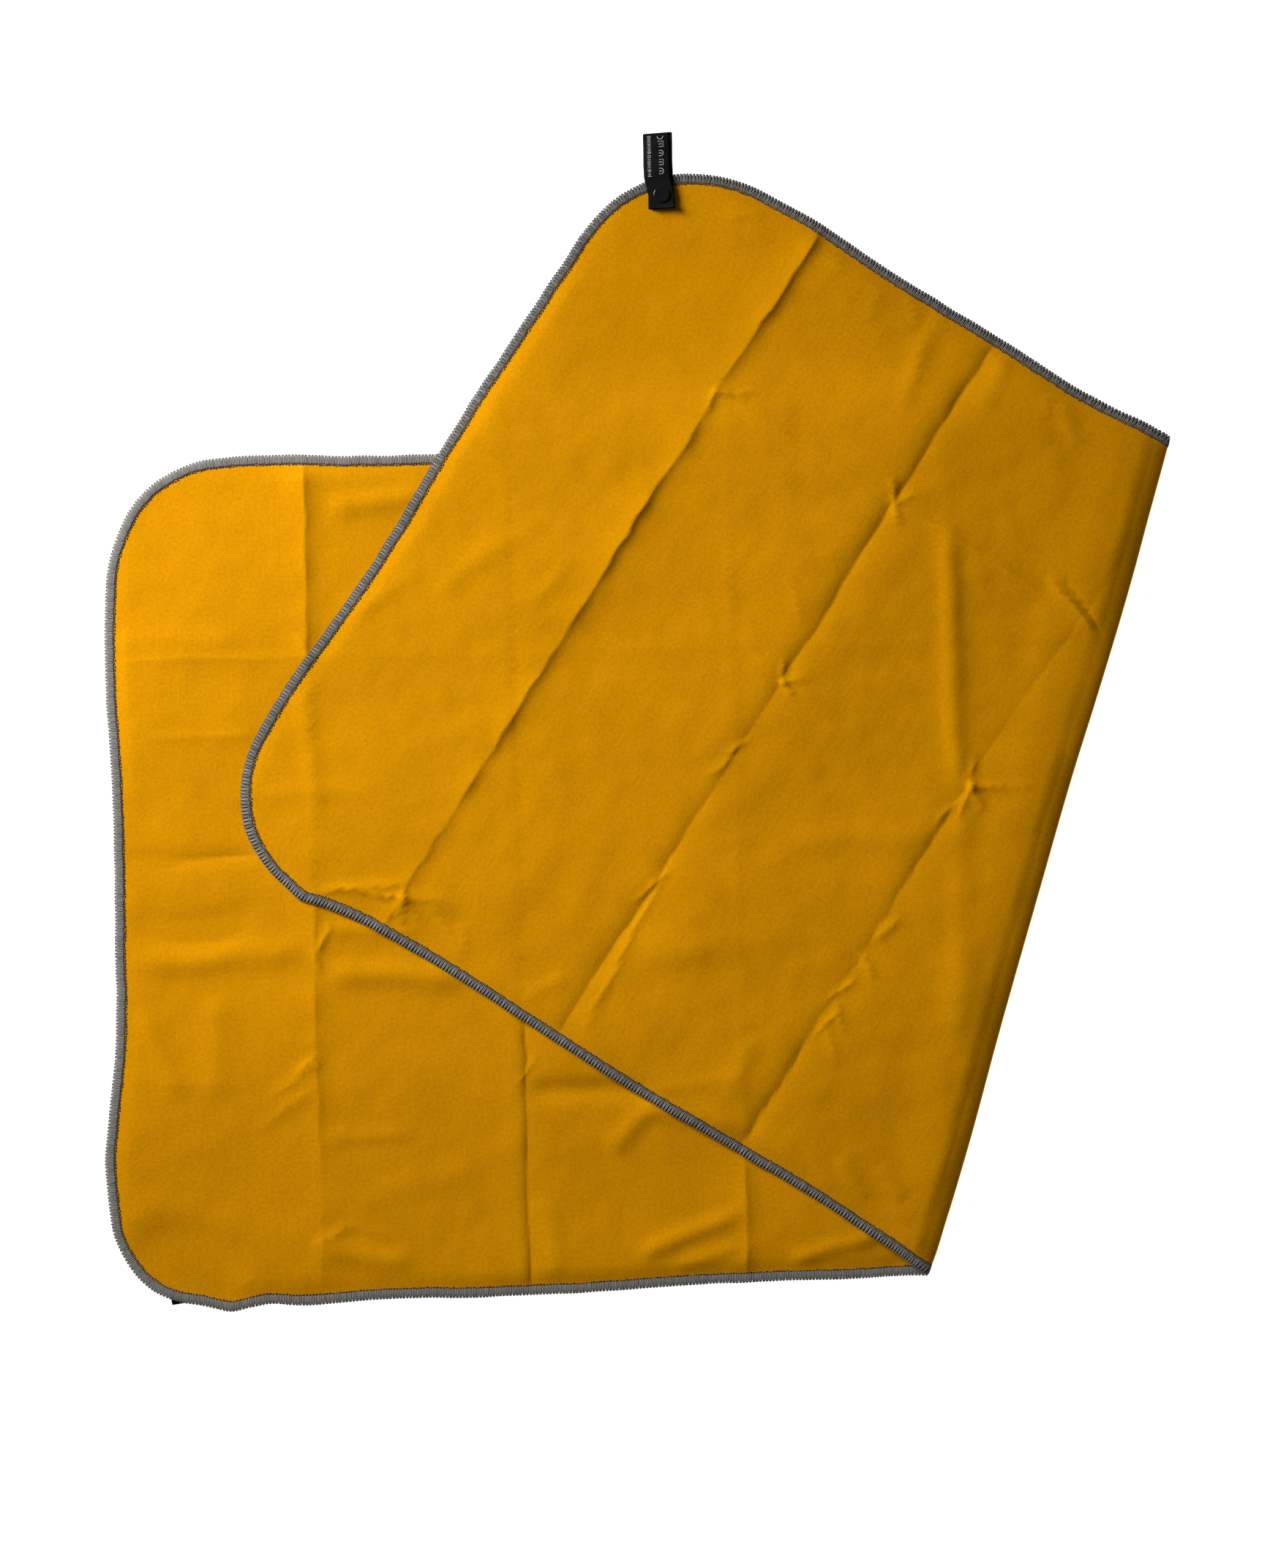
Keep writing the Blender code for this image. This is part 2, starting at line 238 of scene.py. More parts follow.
FOLD_EDGE = (
    (0.0, -7.5), (0.04, -4.6), (0.08, -3.4), (0.15, -2.4), (0.3, -2.6), (0.46, -1.8), (0.62, -0.5),
    (0.69, 1.1), (0.85, 3.1), (1.0, 1.6),
)

# Packing creases: way, place, height, width on the + side and on the - side, kind, seed, strength along it
CREASES = (
    ("u", 0.145, 2.6, 7, 15, "ridge", 3, (0.5, 0.6, 0.7, 0.9, 1.0)),
    ("u", 0.294, 3.4, 16, 3.5, "valley", 4, (1.1, 1.0, 0.7, 0.6, 0.6)),
    ("u", 0.450, 1.7, 6, 13, "ridge", 5, (1.0, 0.8, 0.6, 0.6, 0.6)),
    ("u", 0.752, 3.2, 7, 14, "valley", 6, (1.2, 0.55, 0.75, 0.35, 0.4)),
    ("u", 0.905, 3.9, 8, 14, "valley", 7, (0.9, 0.85, 0.75, 0.9, 1.3)),
    ("u", 1.055, 3.2, 17, 4.5, "ridge", 8, (0.9, 0.8, 0.8, 0.9, 1.2)),
    ("v", 0.155, 0.12, 8, 9, "ridge", 9, (1, 1, 1, 1, 1)),
    ("v", 0.312, 0.8, 9, 8, "valley", 10, (1, 1, 1, 1, 1)),
    ("v", 0.461, 0.9, 6, 9, "ridge", 11, (1, 1, 1.3, 1.6, 0.8)),
)

# How round a crease's crest is
CREASE_ROUND = 0.7 * MM

# Short puckers, in millimetres: where each starts and ends in (u, v), its height and its width
PUCKERS = (
    (1055, 460, 1040, 466, 1.9, 2.6), (1056, 458, 1052, 440, 1.4, 2.4), (1040, 466, 1037, 474, 1.2, 2),
    (908, 459, 893, 447, 1.9, 2.6), (908, 460, 918, 478, 1.7, 2.8), (904, 459, 897, 475, 1.3, 2.4),
    (903, 309, 889, 300, 1.9, 2.6), (903, 309, 914, 327, 1.6, 2.6), (903, 309, 891, 322, 1.2, 2.2),
    (907, 246, 899, 263, 1.7, 3), (906, 240, 913, 222, 1.4, 3), (906, 133, 897, 150, 1.6, 2.8),
    (906, 133, 912, 114, 1.2, 2.8), (751, 317, 733, 305, 2.3, 3), (751, 317, 763, 338, 1.9, 3.2),
    (751, 315, 742, 292, 1.7, 3), (751, 317, 728, 330, 1.5, 3.4), (752, 300, 759, 276, 1.4, 2.8),
    (750, 190, 741, 212, 1.5, 3), (748, 171, 733, 158, 1.5, 2.4), (748, 150, 757, 128, 1.4, 2.6),
    (746, 132, 730, 118, 1.3, 2.8), (744, 126, 752, 103, 1.2, 2.6), (742, 110, 722, 98, 1.2, 3.4),
    (1052, 31, 1103, 13, 1.7, 2.6), (1052, 32, 1030, 20, 1.4, 3.4), (1050, 36, 1012, 47, 1.3, 5),
    (1052, 30, 1046, 10, 1.5, 3), (1007, 36, 990, 20, 1.1, 4), (146, 252, 158, 268, 1.7, 2.8),
    (144, 246, 150, 232, 1.2, 2.6), (144, 170, 128, 158, 1.5, 3.2), (144, 164, 104, 140, 1.3, 4.2),
    (138, 148, 98, 118, 1.2, 5), (146, 310, 137, 325, 1.4, 2.6), (146, 462, 136, 476, 1.5, 2.8),
    (148, 458, 162, 449, 1.2, 2.6), (142, 36, 168, 52, 1.4, 4), (172, 50, 205, 38, 1.3, 5),
    (294, 161, 303, 174, 0.7, 2.6), (294, 158, 286, 146, 0.6, 2.4), (294, 240, 301, 256, 0.7, 2.6),
    (90, 18, 68, 30, 1.6, 4),
)

# Long soft folds, in millimetres: their ends in (u, v), height (below 0 for a hollow) and width
FOLDS = (
    (6, 319, 101, 318, -1.43, 5), (10, 475, 97, 474, 1, 9), (32, 408, 101, 406, 0.55, 4),
    (13, 269, 92, 266, -1.87, 12), (20, 246, 128, 247, 1.87, 10), (19, 207, 44, 148, 1, 9),
    (76, 216, 67, 147, 1.1, 10), (157, 233, 244, 227, 2.09, 9), (155, 264, 213, 261, 1.1, 6),
    (168, 565, 229, 573, 1.99, 8), (144, 32, 207, 22, 1.77, 8), (151, 116, 209, 114, 0.66, 6),
    (300, 143, 381, 144, -1.87, 8), (354, 102, 386, 131, 1.43, 8), (386, 131, 441, 114, 1.33, 8),
    (376, 26, 440, 49, 1.77, 7), (402, 14, 439, 25, 1, 6), (306, 68, 313, 15, 0.66, 8),
    (486, 13, 545, 35, 1.43, 7), (18, 64, 86, 47, 0.77, 14), (187, 71, 251, 90, 0.66, 14),
    (1104, 6, 1056, 38, 1.2, 4), (1030, 40, 995, 17, 0.62, 5), (942, 15, 925, 42, 0.62, 6),
    (900, 137, 895, 25, 0.8, 3.2), (1144, 233, 1126, 294, 0.74, 8), (1192, 181, 1169, 233, 0.5, 7),
    (1086, 260, 1080, 301, 0.5, 6), (1127, 295, 1053, 307, 0.31, 5), (1194, 129, 1131, 45, 0.68, 7),
    (860, 461, 759, 316, 1.9, 8), (747, 299, 668, 167, 1.04, 10), (749, 317, 716, 339, 0.5, 3),
    (738, 310, 691, 315, 0.43, 3), (980, 597, 959, 576, 0.56, 5), (995, 585, 990, 563, 0.43, 5),
    (951, 600, 938, 521, 0.81, 7), (950, 569, 936, 541, 0.43, 5), (894, 589, 884, 555, 0.74, 7),
    (838, 584, 817, 565, 0.62, 6), (851, 583, 842, 572, 0.37, 5), (1038, 589, 1025, 578, 0.31, 5),
    (884, 88, 799, 160, 0.88, 12), (836, 218, 747, 275, 0.72, 10), (825, 13, 780, 50, 0.5, 6),
    (778, 36, 784, 82, 0.62, 7), (941, 58, 954, 144, 0.72, 12), (685, 38, 658, 25, 0.56, 6),
    (660, 48, 636, 39, 0.5, 6), (939, 377, 917, 353, 0.43, 4), (993, 374, 954, 318, 0.25, 5),
    (1114, 571, 1094, 585, 0.56, 5), (1191, 358, 1108, 364, 0.48, 9), (1106, 123, 1054, 180, 0.64, 14),
    (779, 471, 745, 456, 1.3, 3.4), (772, 476, 737, 457, -0.8, 2.6), (1053, 35, 1043, 14, 0.8, 3),
    (1049, 39, 1024, 36, 0.7, 3), (184, 363, 94, 365, 0.65, 7),
)


def creep(u, v):
    """How far a point has moved in the plane, along u and along v."""
    waves = 0.35 * MM * drift(u * 7, v * 7, 0.12, 31)
    du = (through(v, SHORT_EDGE) + waves) * fade(TOWEL_LENGTH - u, CREEP_REACH)
    du -= (through(v, SIDE_EDGE) + waves) * fade(u, CREEP_REACH)
    dv = (through(u, FAR_EDGE) + waves) * fade(TOWEL_WIDTH - v, CREEP_REACH)
    dv -= (through(u, NEAR_EDGE) + waves) * fade(v, NEAR_CREEP_REACH)
    return du, dv


def crumple(u, v):
    """Points a little astray, so that creases and puckers aren't drawn straight."""
    stray_u = 2.4 * MM * drift(u, v, 0.021, 91) + 0.8 * MM * drift(u, v, 0.008, 92)
    stray_v = 2.4 * MM * drift(u, v, 0.021, 93) + 0.8 * MM * drift(u, v, 0.008, 94)
    return u + stray_u, v + stray_v


def crease_rise(u, v):
    """The packing creases' height at a point of the cloth."""
    rise = np.zeros_like(u)
    for way, where, height, plus, minus, kind, seed, shares in CREASES:
        across, along = (u, v) if way == "u" else (v, u)
        reach = TOWEL_WIDTH if way == "u" else TOWEL_LENGTH
        strength = np.interp(along / reach, (0, 0.25, 0.5, 0.75, 1), shares) - 0.1
        level = 0 * along
        strength += 0.3 * drift(along, level, 0.07, seed) + 0.25 * drift(along, level, 0.021, seed + 40)
        wander = 1.3 * MM * drift(along, level, 0.06, seed + 20)
        wander += 0.9 * MM * drift(along, level, 0.013, seed + 60)
        gap = across - where - wander
        far = np.sqrt(gap * gap + CREASE_ROUND**2) - CREASE_ROUND
        wide = np.where(gap > 0, plus, minus) * MM
        peak = np.exp(-far / wide)
        if kind == "valley":
            peak = 0.95 * (np.exp(-far / (3.2 * wide)) - peak)
        rise += height * MM * np.clip(strength, 0.05, 1.4) * peak
    return rise


def beside(u, v, ends):
    """How far along a straight mark each point lies, as a share of it, and how far to its side."""
    u0, v0, u1, v1 = (place * MM for place in ends)
    du, dv = u1 - u0, v1 - v0
    along = ((u - u0) * du + (v - v0) * dv) / (du * du + dv * dv)
    return along, np.hypot(u - u0 - along * du, v - v0 - along * dv)


def pucker_rise(u, v):
    """The short puckers where creases cross."""
    u, v = crumple(u, v)
    rise = np.zeros_like(u)
    for *ends, height, width in PUCKERS:
        along, gap = beside(u, v, ends)
        taper = smooth((along + 0.35) / 0.5) * (1 - smooth((along - 0.35) / 0.85))
        rise += 0.62 * height * MM * taper * np.exp(-((gap / (1.15 * width * MM)) ** 1.5))
    return rise


def fold_rise(u, v):
    """The long soft folds."""
    u, v = u + 2.5 * MM * drift(u, v, 0.05, 95), v + 2.5 * MM * drift(u, v, 0.05, 96)
    rise = np.zeros_like(u)
    for *ends, height, width in FOLDS:
        along, gap = beside(u, v, ends)
        taper = smooth((along + 0.2) / 0.4) * (1 - smooth((along - 0.8) / 0.4))
        crest = 2.0 if width > 5 else 1.35
        rise += height * MM * taper * np.exp(-((gap / (width * MM)) ** crest))
    return rise


def relief(u, v, seed, creased):
    """How far the cloth's own creases, folds and swell lift it, never below 0."""
    marks = (crease_rise(u, v) + pucker_rise(u, v)) * creased + fold_rise(u, v)
    rise = swell(u, v, seed) + marks
    return 0.5 * (rise + np.sqrt(rise * rise + (0.4 * MM) ** 2))


def swell(u, v, seed):
    """The cloth's slow ups and downs, never below 0."""
    slow = 0.5 + 0.5 * drift(u, v, 0.085, seed)
    medium = 0.5 + 0.5 * drift(u + 0.4 * v, v, 0.038, seed + 1)
    small = 0.5 + 0.5 * drift(u, v, 0.014, seed + 2)
    return (3.0 * slow + 0.9 * medium + 0.35 * small) * MM


def corner_rise(x, y):
    """How far the base's near corner stands up over the loop that is turned under it."""
    return RAISED * smooth((RAISED_REACH + RAMP - (x + y) / math.sqrt(2)) / RAMP)


def quiet_near(x, y, place, reach, rest):
    """0 round a loop's seat, softly up to 1, so that the seat lies where the loop is."""
    at = place.translation
    gap = np.hypot(x + corner.x - at.x, y + corner.y - at.y)
    return smooth((gap - reach) / rest)


def under_flap(x, y):
    """1 where the flap covers the base layer, softly to 0 round it."""
    across = (x - FOLD_U) * fold_out.x + y * fold_out.y
    u, v = x - 2 * across * fold_out.x, y - 2 * across * fold_out.y
    inside = np.minimum(np.minimum(v, TOWEL_WIDTH - v), TOWEL_LENGTH - u)
    return smooth((inside + 12 * MM) / (24 * MM))


def base_height(x, y, u, v):
    """The base layer's middle surface above the table."""
    covered = under_flap(x, y)
    edge = np.minimum(np.minimum(u, v), TOWEL_WIDTH - v)
    lively = HEM_SHARE + (1 - HEM_SHARE) * np.maximum(smooth(edge / HEM_BORDER), covered)
    rise = relief(u, v, 51, 1 - 0.7 * covered) * lively
    rise = rise * quiet_near(x, y, LOOP_2, *LOOP_2_SEAT)
    return CLOTH_MID + rise + corner_rise(x, y)


def on_base(x, y):
    """1 over the base layer, softly to 0 past its far and side edges."""
    past = np.maximum(y - TOWEL_WIDTH - through(x, FAR_EDGE), -x)
    return 1 - smooth((past - 1 * MM) / BASE_FALL)


def flap_height(x, y, u, v, from_fold):
    """The flap's middle surface above the table: over the base layer, then down on the table past it."""
    over = on_base(x, y)
    inside = np.clip(x, 0, None)
    under = base_height(x, y, inside, np.clip(y, 0, TOWEL_WIDTH)) - CLOTH_MID
    edge = np.minimum(np.minimum(TOWEL_LENGTH - u, v), TOWEL_WIDTH - v)
    lively = HEM_SHARE + (1 - HEM_SHARE) * smooth(edge / HEM_BORDER)
    rise = relief(u, v, 71, 1) * lively
    rise *= smooth(from_fold / RELIEF_START)
    rolled = np.sin(math.pi / 2 * np.clip(from_fold / ROLL_LENGTH, 0, 1))
    rise += ROLL_HIGH * rolled * (1 - smooth((from_fold - ROLL_LENGTH) / ROLL_FALL))
    quiet = quiet_near(x, y, LOOP_1, *LOOP_1_SEAT)
    support = over * (LIFT_OVER_BASE + FOLLOW * under) + (1 - over) * OFF_TABLE
    free = smooth(from_fold / FLAP_SETTLE)
    support = free * support + (1 - free) * LIFT_OVER_BASE
    support = quiet * support + (1 - quiet) * LIFT_OVER_BASE
    return CLOTH_MID + support + rise * quiet


def lay(u, v):
    """Where points of the cut cloth's middle surface lie, in the model's frame."""
    across = (u - FOLD_U) * fold_out.x + v * fold_out.y
    along = (u - FOLD_U) * fold_way.x + v * fold_way.y
    du, dv = creep(u, v)
    creep_across = du * fold_out.x + dv * fold_out.y
    along = along + du * fold_way.x + dv * fold_way.y
    bow = through(along / FOLD_LENGTH, FOLD_EDGE) * fade(across, FOLD_EASE)
    turn = np.clip(across / BEND_HALF, -1, 1) * math.pi / 2
    past = np.clip(np.abs(across) - BEND_HALF, 0, None)
    low, high = across < -BEND_HALF, across > BEND_HALF
    tuck = BEND_HALF * fade(past, FOLD_EASE)
    flat = -np.clip(np.abs(across) - tuck, 0, None)
    sideways = np.where(low, flat, BEND * np.where(across < 0, np.cos(turn), 1.0))
    roll = BEND - ROLL_WIDE * (1 - np.cos(math.pi / 2 * np.clip(past / ROLL_LENGTH, 0, 1)))
    beyond = BEND - ROLL_WIDE + ROLL_LENGTH + BEND_HALF
    eased = beyond * fade(np.clip(past - ROLL_LENGTH, 0, None), FOLD_EASE) - np.abs(across)
    rolled = np.where(past < ROLL_LENGTH, roll, eased)
    sideways = np.where(high, rolled, sideways) + bow - creep_across * np.sin(turn)
    x = FOLD_U + along * fold_way.x + sideways * fold_out.x
    y = along * fold_way.y + sideways * fold_out.y
    z = hinge_at.z + BEND * np.sin(turn)
    rise = base_height(x[low], y[low], u[low], v[low]) - CLOTH_MID
    z[low] = CLOTH_MID + rise * smooth(past[low] / BASE_SETTLE)
    z[high] = flap_height(x[high], y[high], u[high], v[high], past[high])
    return np.stack((x + corner.x, y + corner.y, z), axis=-1)


def lay_with_normal(u, v):
    """Points of the middle surface and the directions in which face A looks there."""
    step = 0.25 * MM
    at = lay(u, v)
    along_u = lay(u + step, v) - lay(u - step, v)
    along_v = lay(u, v + step) - lay(u, v - step)
    normal = np.cross(along_u, along_v)
    return at, normal / np.linalg.norm(normal, axis=-1, keepdims=True)


# --- Meshes ---


def new_piece(name, points, faces, uvs=None, shade=True):
    """A mesh object at the origin, its place in its mesh, with an optional (u, v) for each point."""
    mesh = bpy.data.meshes.new(name)
    mesh.from_pydata(np.asarray(points, float).tolist(), [], [list(face) for face in faces])
    if uvs is not None:
        layer = mesh.uv_layers.new(name="cut")
        loops = np.zeros(len(mesh.loops), np.int32)
        mesh.loops.foreach_get("vertex_index", loops)
        layer.data.foreach_set("uv", np.asarray(uvs, np.float32)[loops].ravel())
    mesh.polygons.foreach_set("use_smooth", [shade] * len(mesh.polygons))
    mesh.update()
    piece = bpy.data.objects.new(name, mesh)
    bpy.context.scene.collection.objects.link(piece)
    return piece


def stations(low, high, lines, fine, coarse, reach):
    """Places from low to high, close together near the lines and further apart elsewhere."""
    x = np.linspace(low, high, 4001)
    gap = np.min([np.abs(x - line) for line in lines], axis=0)
    step = coarse - (coarse - fine) * np.exp(-((gap / reach) ** 2))
    count = np.concatenate(([0], np.cumsum((high - low) / 4000 / ((step[1:] + step[:-1]) / 2))))
    return np.interp(np.linspace(0, count[-1], int(round(count[-1])) + 1), count, x)


def round_corners(u, v):
    """Moves a square-cornered grid's points onto the cloth's rounded corners."""
    corners = (
        (BASE_NEAR_RADIUS, 0, 0),
        (BASE_FAR_RADIUS, 0, TOWEL_WIDTH),
        (FLAP_NEAR_RADIUS, TOWEL_LENGTH, 0),
        (FLAP_FAR_RADIUS, TOWEL_LENGTH, TOWEL_WIDTH),
    )
    u, v = u.copy(), v.copy()
    for radius, end_u, end_v in corners:
        way_u, way_v = (-1 if end_u == 0 else 1), (-1 if end_v == 0 else 1)
        mid_u, mid_v = end_u - way_u * radius, end_v - way_v * radius
        a, b = (u - mid_u) * way_u / radius, (v - mid_v) * way_v / radius
        within = (a > 0) & (b > 0)
        scale = np.where(within, np.maximum(a, b) / np.maximum(np.hypot(a, b), 1e-9), 1)
        u = np.where(within, mid_u + way_u * a * scale * radius, u)
        v = np.where(within, mid_v + way_v * b * scale * radius, v)
    return u, v


def fold_u(v, side):
    """Where the bend's side line lies along u."""
    return FOLD_U + v * fold_way.x / fold_way.y + side * BEND_HALF / fold_out.x


def cloth_columns(rows):
    """The whole cloth's grid as u and v, and where its columns pass into and out of the bend."""
    far_lines = (*FLAP_CREASES[1:], TOWEL_LENGTH)
    end = TOWEL_LENGTH - CLOTH_INSET
    fixed = stations(CLOTH_INSET, BASE_STRAIGHT, (0, *BASE_CREASES), FINE_COLUMN, COARSE_COLUMN, 9 * MM)[:-1]
    ease = stations(0, 0.29, (0.285, 0.31), 1.4 * MM, 4.0 * MM, 9 * MM) / 0.29
    after = stations(0, 0.27, (0,), 1.2 * MM, 2.7 * MM, 12 * MM) / 0.27
    flat = stations(FLAP_STRAIGHT, end, far_lines, FINE_COLUMN, COARSE_COLUMN, 9 * MM)[1:]
    into, out = fold_u(rows, -1), fold_u(rows, 1)
    columns = [np.full_like(rows, u) for u in fixed]
    columns += [BASE_STRAIGHT + (into - BASE_STRAIGHT) * share for share in ease]
    first = len(columns) - 1
    columns += [into + (out - into) * step / 10 for step in range(1, 11)]
    last = len(columns) - 1
    columns += [out + (FLAP_STRAIGHT - out) * share for share in after[1:]]
    columns += [np.full_like(rows, u) for u in flat]
    return np.array(columns), first, last


def shell_faces(many, wide):
    """The faces of a closed shell between two many by wide grids of points, one after the other."""
    index = np.arange(many * wide).reshape(many, wide)
    a, b, c, d = index[:-1, :-1], index[1:, :-1], index[1:, 1:], index[:-1, 1:]
    upper = np.stack((a, b, c, d), axis=-1).reshape(-1, 4)
    lower = upper[:, ::-1] + many * wide
    ring = np.concatenate((index[:-1, 0], index[-1, :-1], index[:0:-1, -1], index[0, :0:-1]))
    after = np.roll(ring, -1)
    wall = np.stack((ring, ring + many * wide, after + many * wide, after), axis=-1)
    return np.concatenate((upper, lower, wall))


def cloth_piece(name, points, normals, uvs, material):
    """A closed piece of the cloth from its part of the grid, shaded with the whole cloth's normals."""
    columns, rows = points.shape[:2]
    half = CLOTH / 2
    top = (points + normals * half).reshape(-1, 3)
    bottom = (points - normals * half).reshape(-1, 3)
    faces = shell_faces(columns, rows)
    flat_uv = np.concatenate((uvs.reshape(-1, 2), uvs.reshape(-1, 2)))
    piece = new_piece(name, np.concatenate((top, bottom)), faces, flat_uv)
    way = normals.reshape(-1, 3)
    piece.data.normals_split_custom_set_from_vertices(np.concatenate((way, -way)).tolist())
    piece.data.materials.append(material)
    return piece


def build_cloth(material):
    """The cloth in three pieces of one sheet: base layer, bend and flap."""
    lines = (0, *LONG_CREASES, TOWEL_WIDTH)
    rows = stations(CLOTH_INSET, TOWEL_WIDTH - CLOTH_INSET, lines, 1.4 * MM, COARSE_COLUMN, 8 * MM)
    u, first, last = cloth_columns(rows)
    v = np.broadcast_to(rows, u.shape).copy()
    u, v = round_corners(u, v)
    points, normals = lay_with_normal(u, v)
    uvs = np.stack((u, v), axis=-1)
    first -= 2  # the bend piece takes two columns of the base too
    parts = (
        ("cloth_base_layer", 0, first + 1),
        ("cloth_bend", first, last + 1),
        ("cloth_flap_layer", last, len(u)),
    )
    return [cloth_piece(name, points[a:b], normals[a:b], uvs[a:b], material) for name, a, b in parts]


# --- Overlocked edging ---


def edge_runs():
    """The cut edge as runs: straight ones with a start and a way, and corners with a centre and an angle."""
    near, far = BASE_NEAR_RADIUS, BASE_FAR_RADIUS
    flap_near, flap_far = FLAP_NEAR_RADIUS, FLAP_FAR_RADIUS
    long, wide = TOWEL_LENGTH, TOWEL_WIDTH
    return (
        ("line", (near, 0), 0, long - near - flap_near),
        ("arc", (long - flap_near, flap_near), -90, flap_near),
        ("line", (long, flap_near), 90, wide - flap_near - flap_far),
        ("arc", (long - flap_far, wide - flap_far), 0, flap_far),
        ("line", (long - flap_far, wide), 180, long - flap_far - far),
        ("arc", (far, wide - far), 90, far),
        ("line", (0, wide - far), 270, wide - far - near),
        ("arc", (near, near), 180, near),
    )


def edge_length():
    """The length of the cut edge all the way round."""
    return sum(size * (math.pi / 2 if kind == "arc" else 1) for kind, _, _, size in edge_runs())


def edge_point(along, inset):
    """The (u, v) that lies a distance along the cut edge and an inset in from it."""
    along = np.mod(along, edge_length())
    u, v = np.zeros_like(along), np.zeros_like(along)
    start = 0
    for kind, at, angle, size in edge_runs():
        span = size * (math.pi / 2 if kind == "arc" else 1)
        here = (along >= start) & (along <= start + span)
        part = along - start
        if kind == "line":
            way = (math.cos(math.radians(angle)), math.sin(math.radians(angle)))
            run_u, run_v = at[0] + part * way[0] - inset * way[1], at[1] + part * way[1] + inset * way[0]
        else:
            turned = math.radians(angle) + part / size
            run_u, run_v = at[0] + (size - inset) * np.cos(turned), at[1] + (size - inset) * np.sin(turned)
        u, v = np.where(here, run_u, u), np.where(here, run_v, v)
        start += span
    return u, v


def strand(path, wide, thick, sides=6, over_edge=False, tone=1.0):
    """One thread as a flattened tube: path holds (along the edge, inset, height) and it narrows at its ends.

    Each point's fourth number is its tone, painted shade for the yarn: 1 for thread left lit, down to 0 for
    thread painted dark as if deep in the seam.
    """
    path = np.array(path, float) * MM
    ways = np.gradient(path, axis=0)
    ways /= np.linalg.norm(ways, axis=1, keepdims=True)
    points = []
    for i, (at, way) in enumerate(zip(path, ways)):
        out = np.array((0, -way[2], way[1])) if over_edge else np.array((0, 0, 1)) - way * way[2]
        out /= max(np.linalg.norm(out), 1e-9)
        across = np.cross(way, out)
        ends = 0.7 if i in (0, len(path) - 1) else 1.0
        for k in range(sides):
            angle = math.tau * (k + 0.5) / sides
            spot = at + (across * math.cos(angle) * wide + out * math.sin(angle) * thick) * ends * MM
            # Painted shade: the tone falls to 0.35 of itself at the tube's sides and to 0.4 at its two ends.
            points.append((*spot, tone * (1.0 - 0.65 * math.cos(angle) ** 2) * (2 * ends - 1)))
    faces = []
    for i in range(len(path) - 1):
        for k in range(sides):
            a, b = i * sides + k, i * sides + (k + 1) % sides
            faces.append((a, b, b + sides, a + sides))
    faces.append(tuple(reversed(range(sides))))
    faces.append(tuple(range((len(path) - 1) * sides, len(path) * sides)))
    return np.array(points), faces


def joined(parts):
    """Several (points, faces) as one."""
    points, faces, count = [], [], 0
    for some, their in parts:
        points.append(some)
        faces += [tuple(i + count for i in face) for face in their]
        count += len(some)
    return np.concatenate(points), faces


def painted_shade_bed(height):
    """A dark band under the looper strands at tone 0, painted shade standing in for the shadowed gaps
    between them.
    """
    return strand(((-0.1, 3.3, height), (1.2, 3.3, height), (2.5, 3.3, height)), 3.15, 0.13, tone=0.0)


def upper_looper_stitch():
    """The face A threads of one stitch: two full, soft strands side by side, over the edge."""
    course = ((0, 6.5, 0.45), (0.1, 5.2, 0.74), (0.25, 2.9, 0.8), (0.4, 0.7, 0.7), (0.45, -0.2, 0.1))
    parts = []
    for at in (0.0, 1.2):
        path = [(at + lean, inset, height) for lean, inset, height in course]
        parts.append(strand(path, 0.66, 0.24, over_edge=True))
    # Painted shade: a dark band under the strands, for the shadow in the gaps between them.
    parts.append(painted_shade_bed(0.52))
    return joined(parts)


def lower_looper_stitch():
    """The face B threads of one stitch: a thin V of two strands, and the knot where they meet the edge."""
    first = (
        (0.05, 6.5, -0.45), (0.15, 5.2, -0.72), (0.4, 2.9, -0.78), (0.72, 0.7, -0.68), (0.8, -0.25, -0.1),
    )
    second = (
        (1.45, 6.5, -0.45), (1.4, 5.2, -0.7), (1.25, 2.9, -0.74), (1.1, 0.7, -0.64), (1.0, -0.2, -0.1),
    )
    knot = ((0.2, -0.15, -0.25), (0.7, -0.5, -0.15), (1.15, -0.5, -0.1), (1.7, -0.15, -0.2))
    threads = [strand(first, 0.6, 0.22, over_edge=True), strand(second, 0.56, 0.2, over_edge=True)]
    # The dark band under the strands is painted shade; the knot's tone of 1.2 gives it less painted shade
    # than the strands.
    return joined([*threads, strand(knot, 0.34, 0.32, 5, tone=1.2), painted_shade_bed(-0.5)])


def needle_stitch():
    """The needle thread's stitch, seen on both faces just inside the loopers."""
    parts = []
    for side in (1, -1):
        low, high = 0.3 * side, 0.6 * side
        path = ((0.1, 6.75, low), (0.5, 6.8, high), (1.5, 6.8, high), (1.95, 6.75, low))
        # Tone 0.12 paints the needle stitches nearly black: painted shade for the shadowed dots along the
        # seam's inner edge.
        parts.append(strand(path, 0.44, 0.28, 5, tone=0.12))
    return joined(parts)


def edge_lattice():
    """The cloth's places and normals on a close lattice along and across the edge, for the stitches."""
    many = int(round(edge_length() / LATTICE_STEP))
    insets = np.array(LATTICE_INSETS) * MM
    along, inset = np.meshgrid(np.arange(many + 4) * edge_length() / many, insets, indexing="ij")
    u, v = edge_point(along, inset)
    at, normal = lay_with_normal(u, v)
    return edge_length() / many, insets, at, normal


def on_lattice(lattice, along, inset):
    """Places and normals between the lattice's points."""
    step, insets, at, normal = lattice
    place = np.mod(along, edge_length()) / step
    i = np.floor(place).astype(int)
    t = (place - i)[..., None]
    j = np.clip(np.searchsorted(insets, inset) - 1, 0, len(insets) - 2)
    w = ((inset - insets[j]) / (insets[j + 1] - insets[j]))[..., None]
    found = []
    for field in (at, normal):
        near = field[i, j] * (1 - t) + field[i + 1, j] * t
        far = field[i, j + 1] * (1 - t) + field[i + 1, j + 1] * t
        found.append(near * (1 - w) + far * w)
    return found


